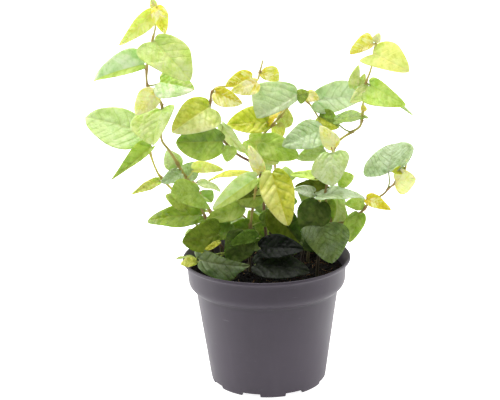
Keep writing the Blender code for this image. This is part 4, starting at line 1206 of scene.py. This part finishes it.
def leaf_material(name, gloss, through):
    """A leaf's surface: through is how much of the light passes inside the blade."""
    g = Graph(name)
    place = g.fact("place")
    tone = g.fact("tone")
    across, along, seed = g.parts(place)
    cream, bloom, under = g.parts(g.fact("marks"))
    outward, darkness = g.parts(g.fact("reach"))[:2]
    lateral = g.math("ABSOLUTE", across)
    midrib = g.fading(lateral, *MIDRIB_SPAN)
    phase, vein, furrow = leaf_veins(g, place, across, along, lateral)
    inputs = (("Vector", place), ("Scale", NET_SCALE), ("Randomness", 1.0))
    net = g.fading(g.node("TexVoronoi", inputs, feature="DISTANCE_TO_EDGE").outputs[0], *NET_SPAN)
    clouds = g.noise(place, 5.0, 4.0)
    puffs = g.noise(place, 10.0, 2.0)
    young = g.math("GREATER_THAN", cream, 0.01)

    # Mottling, painted shade in patches of the puffy relief and in the furrows, and the tint near the leaf's
    # foot
    darker = g.tinted(tone, LEAF_HOLLOW_SHADE)
    colour = g.mix(g.between(clouds, 0.36, 0.64), tone, g.fact("mottle"))
    colour = g.mix(g.between(puffs, 0.5, 0.30, 0.0, 0.35), colour, darker)
    colour = g.mix(g.times(furrow, darkness), colour, darker)
    # Painted shade near the foot, warmer on young leaves
    near_foot = g.between(along, 0.0, 0.28, 0.5, 0.0)
    foot_tint = g.mix(young, LEAF_FOOT_SHADE, YOUNG_FOOT_TINT)
    colour = g.mix(near_foot, colour, g.tinted(colour, foot_tint))

    # Painted sheen between the veins, a painted reflection off the puffed cells, kept off the furrows and
    # the net
    sheen_mask = g.times(g.between(g.noise(place, 3.0, 2.0), 0.36, 0.64, 0.2, 0.85), bloom)
    covered = g.math("MAXIMUM", g.times(furrow, 0.8), g.times(net, 0.35))
    colour = g.mix(g.times(sheen_mask, g.math("SUBTRACT", 1.0, covered)), colour, linear(SHEEN_PAINT))

    # Cream patches that run along the veins
    spread = g.node("CombineXYZ", ((0, g.times(phase, 0.5)), (1, lateral), (2, seed))).outputs[0]
    streaks = g.times(g.noise(spread, 3.4, 2.0), 0.6)
    patches = g.math("MULTIPLY_ADD", g.noise(place, 3.4, 2.0), 0.4, streaks)
    patches = g.between(g.math("MULTIPLY_ADD", cream, 0.2, patches), 0.52, 0.70, 0.0, 0.85)
    colour = g.mix(g.times(patches, young), colour, linear(CREAM))

    # Painted shade on the rim, then the net, the veins and the paler underside
    colour = g.mix(g.between(outward, 0.92, 1.0, 0.0, 0.5), colour, g.tinted(colour, LEAF_RIM_SHADE))
    colour = g.mix(g.times(net, 0.08), colour, darker)
    lines = g.math("MAXIMUM", g.times(midrib, 0.4), g.times(vein, 0.15))
    colour = g.mix(lines, colour, g.tinted(tone, LEAF_VEIN_TINT))
    colour = g.mix(g.times(under, 0.5), colour, linear(UNDERSIDE))

    # Roughness and fine relief, which is turned inside out on the underside
    rough = g.between(g.math("ADD", clouds, g.times(net, 0.25)), 0.3, 0.9, 0.26, 0.48)
    rough = g.math("MULTIPLY_ADD", under, 0.15, rough)
    height = g.math("MULTIPLY_ADD", puffs, -2.2, g.times(vein, 0.5))
    height = g.math("ADD", height, g.times(net, 0.2))
    height = g.math("MULTIPLY_ADD", g.noise(place, 60.0, 2.0), 0.12, height)
    side = g.math("MULTIPLY_ADD", under, 2.0, -1.0)
    normal = g.bump(g.times(height, side), 0.35 * MM, 0.8)
    return g.finish(base_color=colour, roughness=rough, normal=normal, subsurface_weight=through,
                    subsurface_radius=(0.9, 1.5, 0.35), subsurface_scale=MM, specular_ior_level=gloss)


def bark_material():
    g = Graph("stem_bark")
    place = g.fact("place")
    streaks = g.noise(g.stretched(place, (1.6, 1.6, 0.35)), 2.4, 4.0)
    flecks = g.noise(g.stretched(place, (3.0, 3.0, 2.0)), 3.0, 2.0)
    tone = g.fact("tone")
    darker = g.tinted(tone, BARK_HOLLOW_TINT)
    colour = g.mix(g.between(streaks, 0.4, 0.7, 0.0, 0.4), tone, darker)
    colour = g.mix(g.between(flecks, 0.6, 0.72, 0.0, 0.4), colour, BARK_FLECK)
    height = g.math("ADD", streaks, g.times(flecks, 0.5))
    return g.finish(base_color=colour, roughness=g.between(streaks, 0.3, 0.7, 0.5, 0.75),
                    normal=g.bump(height, 0.25 * MM, 0.7))


def plastic_material():
    g = Graph("pot_plastic_grey")
    where = g.node("TexCoord").outputs["Object"]
    clouds = g.noise(where, 26.0, 4.0)
    flow = g.noise(g.stretched(where, (1.0, 1.0, 0.12)), 90.0, 4.0)
    grain = g.noise(where, 2600.0, 2.0)
    scuffs = g.noise(g.stretched(where, (0.5, 0.5, 5.0)), 120.0, 5.0, 0.7)
    colour = g.mix(g.between(clouds, 0.3, 0.7), PLASTIC_DARK, PLASTIC_LIGHT)
    colour = g.mix(g.between(flow, 0.5, 0.75, 0.0, 0.05), colour, PLASTIC_FLOW)

    # Painted shade on the step under the collar
    up = g.parts(where)[2]
    low = g.between(up, STEP_LOW * MM, STEP_MIDDLE * MM)
    high = g.fading(up, STEP_MIDDLE * MM, STEP_HIGH * MM)
    colour = g.mix(g.times(g.times(low, high), 0.55), colour, PLASTIC_STEP_SHADE)

    marks = g.between(scuffs, 0.66, 0.74)
    colour = g.mix(g.times(marks, 0.25), colour, PLASTIC_SCUFF)
    rough = g.between(g.math("ADD", clouds, g.times(marks, 0.3)), 0.3, 0.9, 0.45, 0.62)
    height = g.math("ADD", g.times(grain, 0.5), g.times(flow, 0.5))
    return g.finish(base_color=colour, roughness=rough, normal=g.bump(height, 0.05 * MM, 0.5),
                    specular_ior_level=0.3)


def soil_material():
    g = Graph("soil_peat")
    place = g.fact("place")
    tone = g.fact("tone")
    damp = g.noise(place, 0.18, 3.0)
    grit = g.noise(place, 2.6, 4.0, 0.7)
    colour = g.mix(g.between(damp, 0.35, 0.65, 0.0, 0.6), tone, g.tinted(tone, SOIL_DAMP_TINT))
    colour = g.mix(g.between(grit, 0.5, 0.72, 0.0, 0.35), colour, SOIL_GRIT)
    rough = g.between(damp, 0.3, 0.7, 0.95, 0.7)
    return g.finish(base_color=colour, roughness=rough, normal=g.bump(grit, 0.5 * MM, 0.9),
                    specular_ior_level=0.08)


# Surroundings

FLOOR_REACH = 9.0
FLOOR_SIDES = 96
# The floor is greyer in front, a painted shade where the studio is dim
FLOOR_FRONT_SHADE = (0.76, 0.76, 0.76)
FLOOR_BACK = (0.925, 0.925, 0.925)
FLOOR_GLOW = 0.95
WHITE = (1.0, 1.0, 1.0)
WORLD_FRONT = 0.05
WORLD_BACK = 1.1
WORLD_TOP = 0.6
LIGHT_AIM = (0.0, 0.0, 0.12)
FOCAL_PIXELS = 1478.0
FRAME_WIDTH = 500.0
SENSOR_WIDTH = 36.0
CAMERA_PITCH = 16.2
CAMERA_ROLL = 1.2


def make_floor():
    """A pale floor, greyer in front as a painted shade, which glows softly behind the pot."""
    rim = [(*polar(FLOOR_REACH, math.tau * side / FLOOR_SIDES), 0.0) for side in range(FLOOR_SIDES)]
    floor = added("pale_floor", new_mesh("pale_floor", rim, [list(range(FLOOR_SIDES))]))
    g = Graph("pale_floor")
    where = g.node("TexCoord").outputs["Object"]
    behind = g.between(g.parts(where)[1], -0.25, 0.0)
    colour = g.mix(behind, FLOOR_FRONT_SHADE, FLOOR_BACK)
    floor.data.materials.append(g.finish(base_color=colour, roughness=0.9, emission_color=WHITE,
                                         emission_strength=g.times(behind, FLOOR_GLOW)))


def make_world():
    """White surroundings, bright behind and above and dim in front."""
    world = bpy.data.worlds.new("studio")
    world.use_nodes = True
    tree = world.node_tree
    where = tree.nodes.new("ShaderNodeTexCoord")
    parts = tree.nodes.new("ShaderNodeSeparateXYZ")
    total = tree.nodes.new("ShaderNodeMath")
    tree.links.new(where.outputs["Generated"], parts.inputs[0])
    spans = (("Y", -0.15, 0.75, WORLD_FRONT, WORLD_BACK), ("Z", 0.15, 0.95, 0.0, WORLD_TOP))
    for slot, (axis, *span) in enumerate(spans):
        spread = tree.nodes.new("ShaderNodeMapRange")
        spread.interpolation_type = "SMOOTHSTEP"
        for index, value in enumerate(span):
            spread.inputs[index + 1].default_value = value
        tree.links.new(parts.outputs[axis], spread.inputs[0])
        tree.links.new(spread.outputs[0], total.inputs[slot])
    background = tree.nodes["Background"]
    background.inputs["Color"].default_value = (*WHITE, 1.0)
    tree.links.new(total.outputs[0], background.inputs["Strength"])
    bpy.context.scene.world = world


def soft_light(name, place, size, power):
    """A square light facing the middle of the plant."""
    data = bpy.data.lights.new(name, "AREA")
    data.size = size
    data.energy = power
    light = added(name, data)
    light.location = place
    light.rotation_euler = (Vector(LIGHT_AIM) - Vector(place)).to_track_quat("-Z", "Y").to_euler()


def make_camera():
    data = bpy.data.cameras.new("portrait")
    data.sensor_width = SENSOR_WIDTH
    data.lens = FOCAL_PIXELS * SENSOR_WIDTH / FRAME_WIDTH
    camera = added("portrait", data)
    camera.matrix_world = (Matrix.Translation(EYE * MM)
                           @ Matrix.Rotation(math.radians(90.0 - CAMERA_PITCH), 4, "X")
                           @ Matrix.Rotation(math.radians(-CAMERA_ROLL), 4, "Z"))
    bpy.context.scene.camera = camera


# leaf_shaded is the copy with less gloss and less light through, for the kinds that paint shade
plant_materials = [leaf_material("leaf_surface", 0.45, 0.3), bark_material(),
                   leaf_material("leaf_shaded", 0.12, 0.2), leaf_material("leaf_young", 0.35, 0.55)]
for vine in VINES:
    piece = make_vine(vine, plant_materials)
    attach(piece, "root")
    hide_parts(vine.name)

pot = make_pot(plastic_material())
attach(pot, "root")
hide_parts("pot")

soil = make_soil([soil_material()])
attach(soil, "root")
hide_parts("soil")

make_floor()
make_world()
soft_light("top_softbox", (0.0, 0.02, 0.68), 0.6, 4.2)
soft_light("left_softbox", (-0.9, 0.2, 0.42), 0.7, 5.4)
soft_light("right_softbox", (0.9, 0.2, 0.42), 0.7, 3.2)
make_camera()
bpy.context.scene.view_settings.view_transform = "Standard"
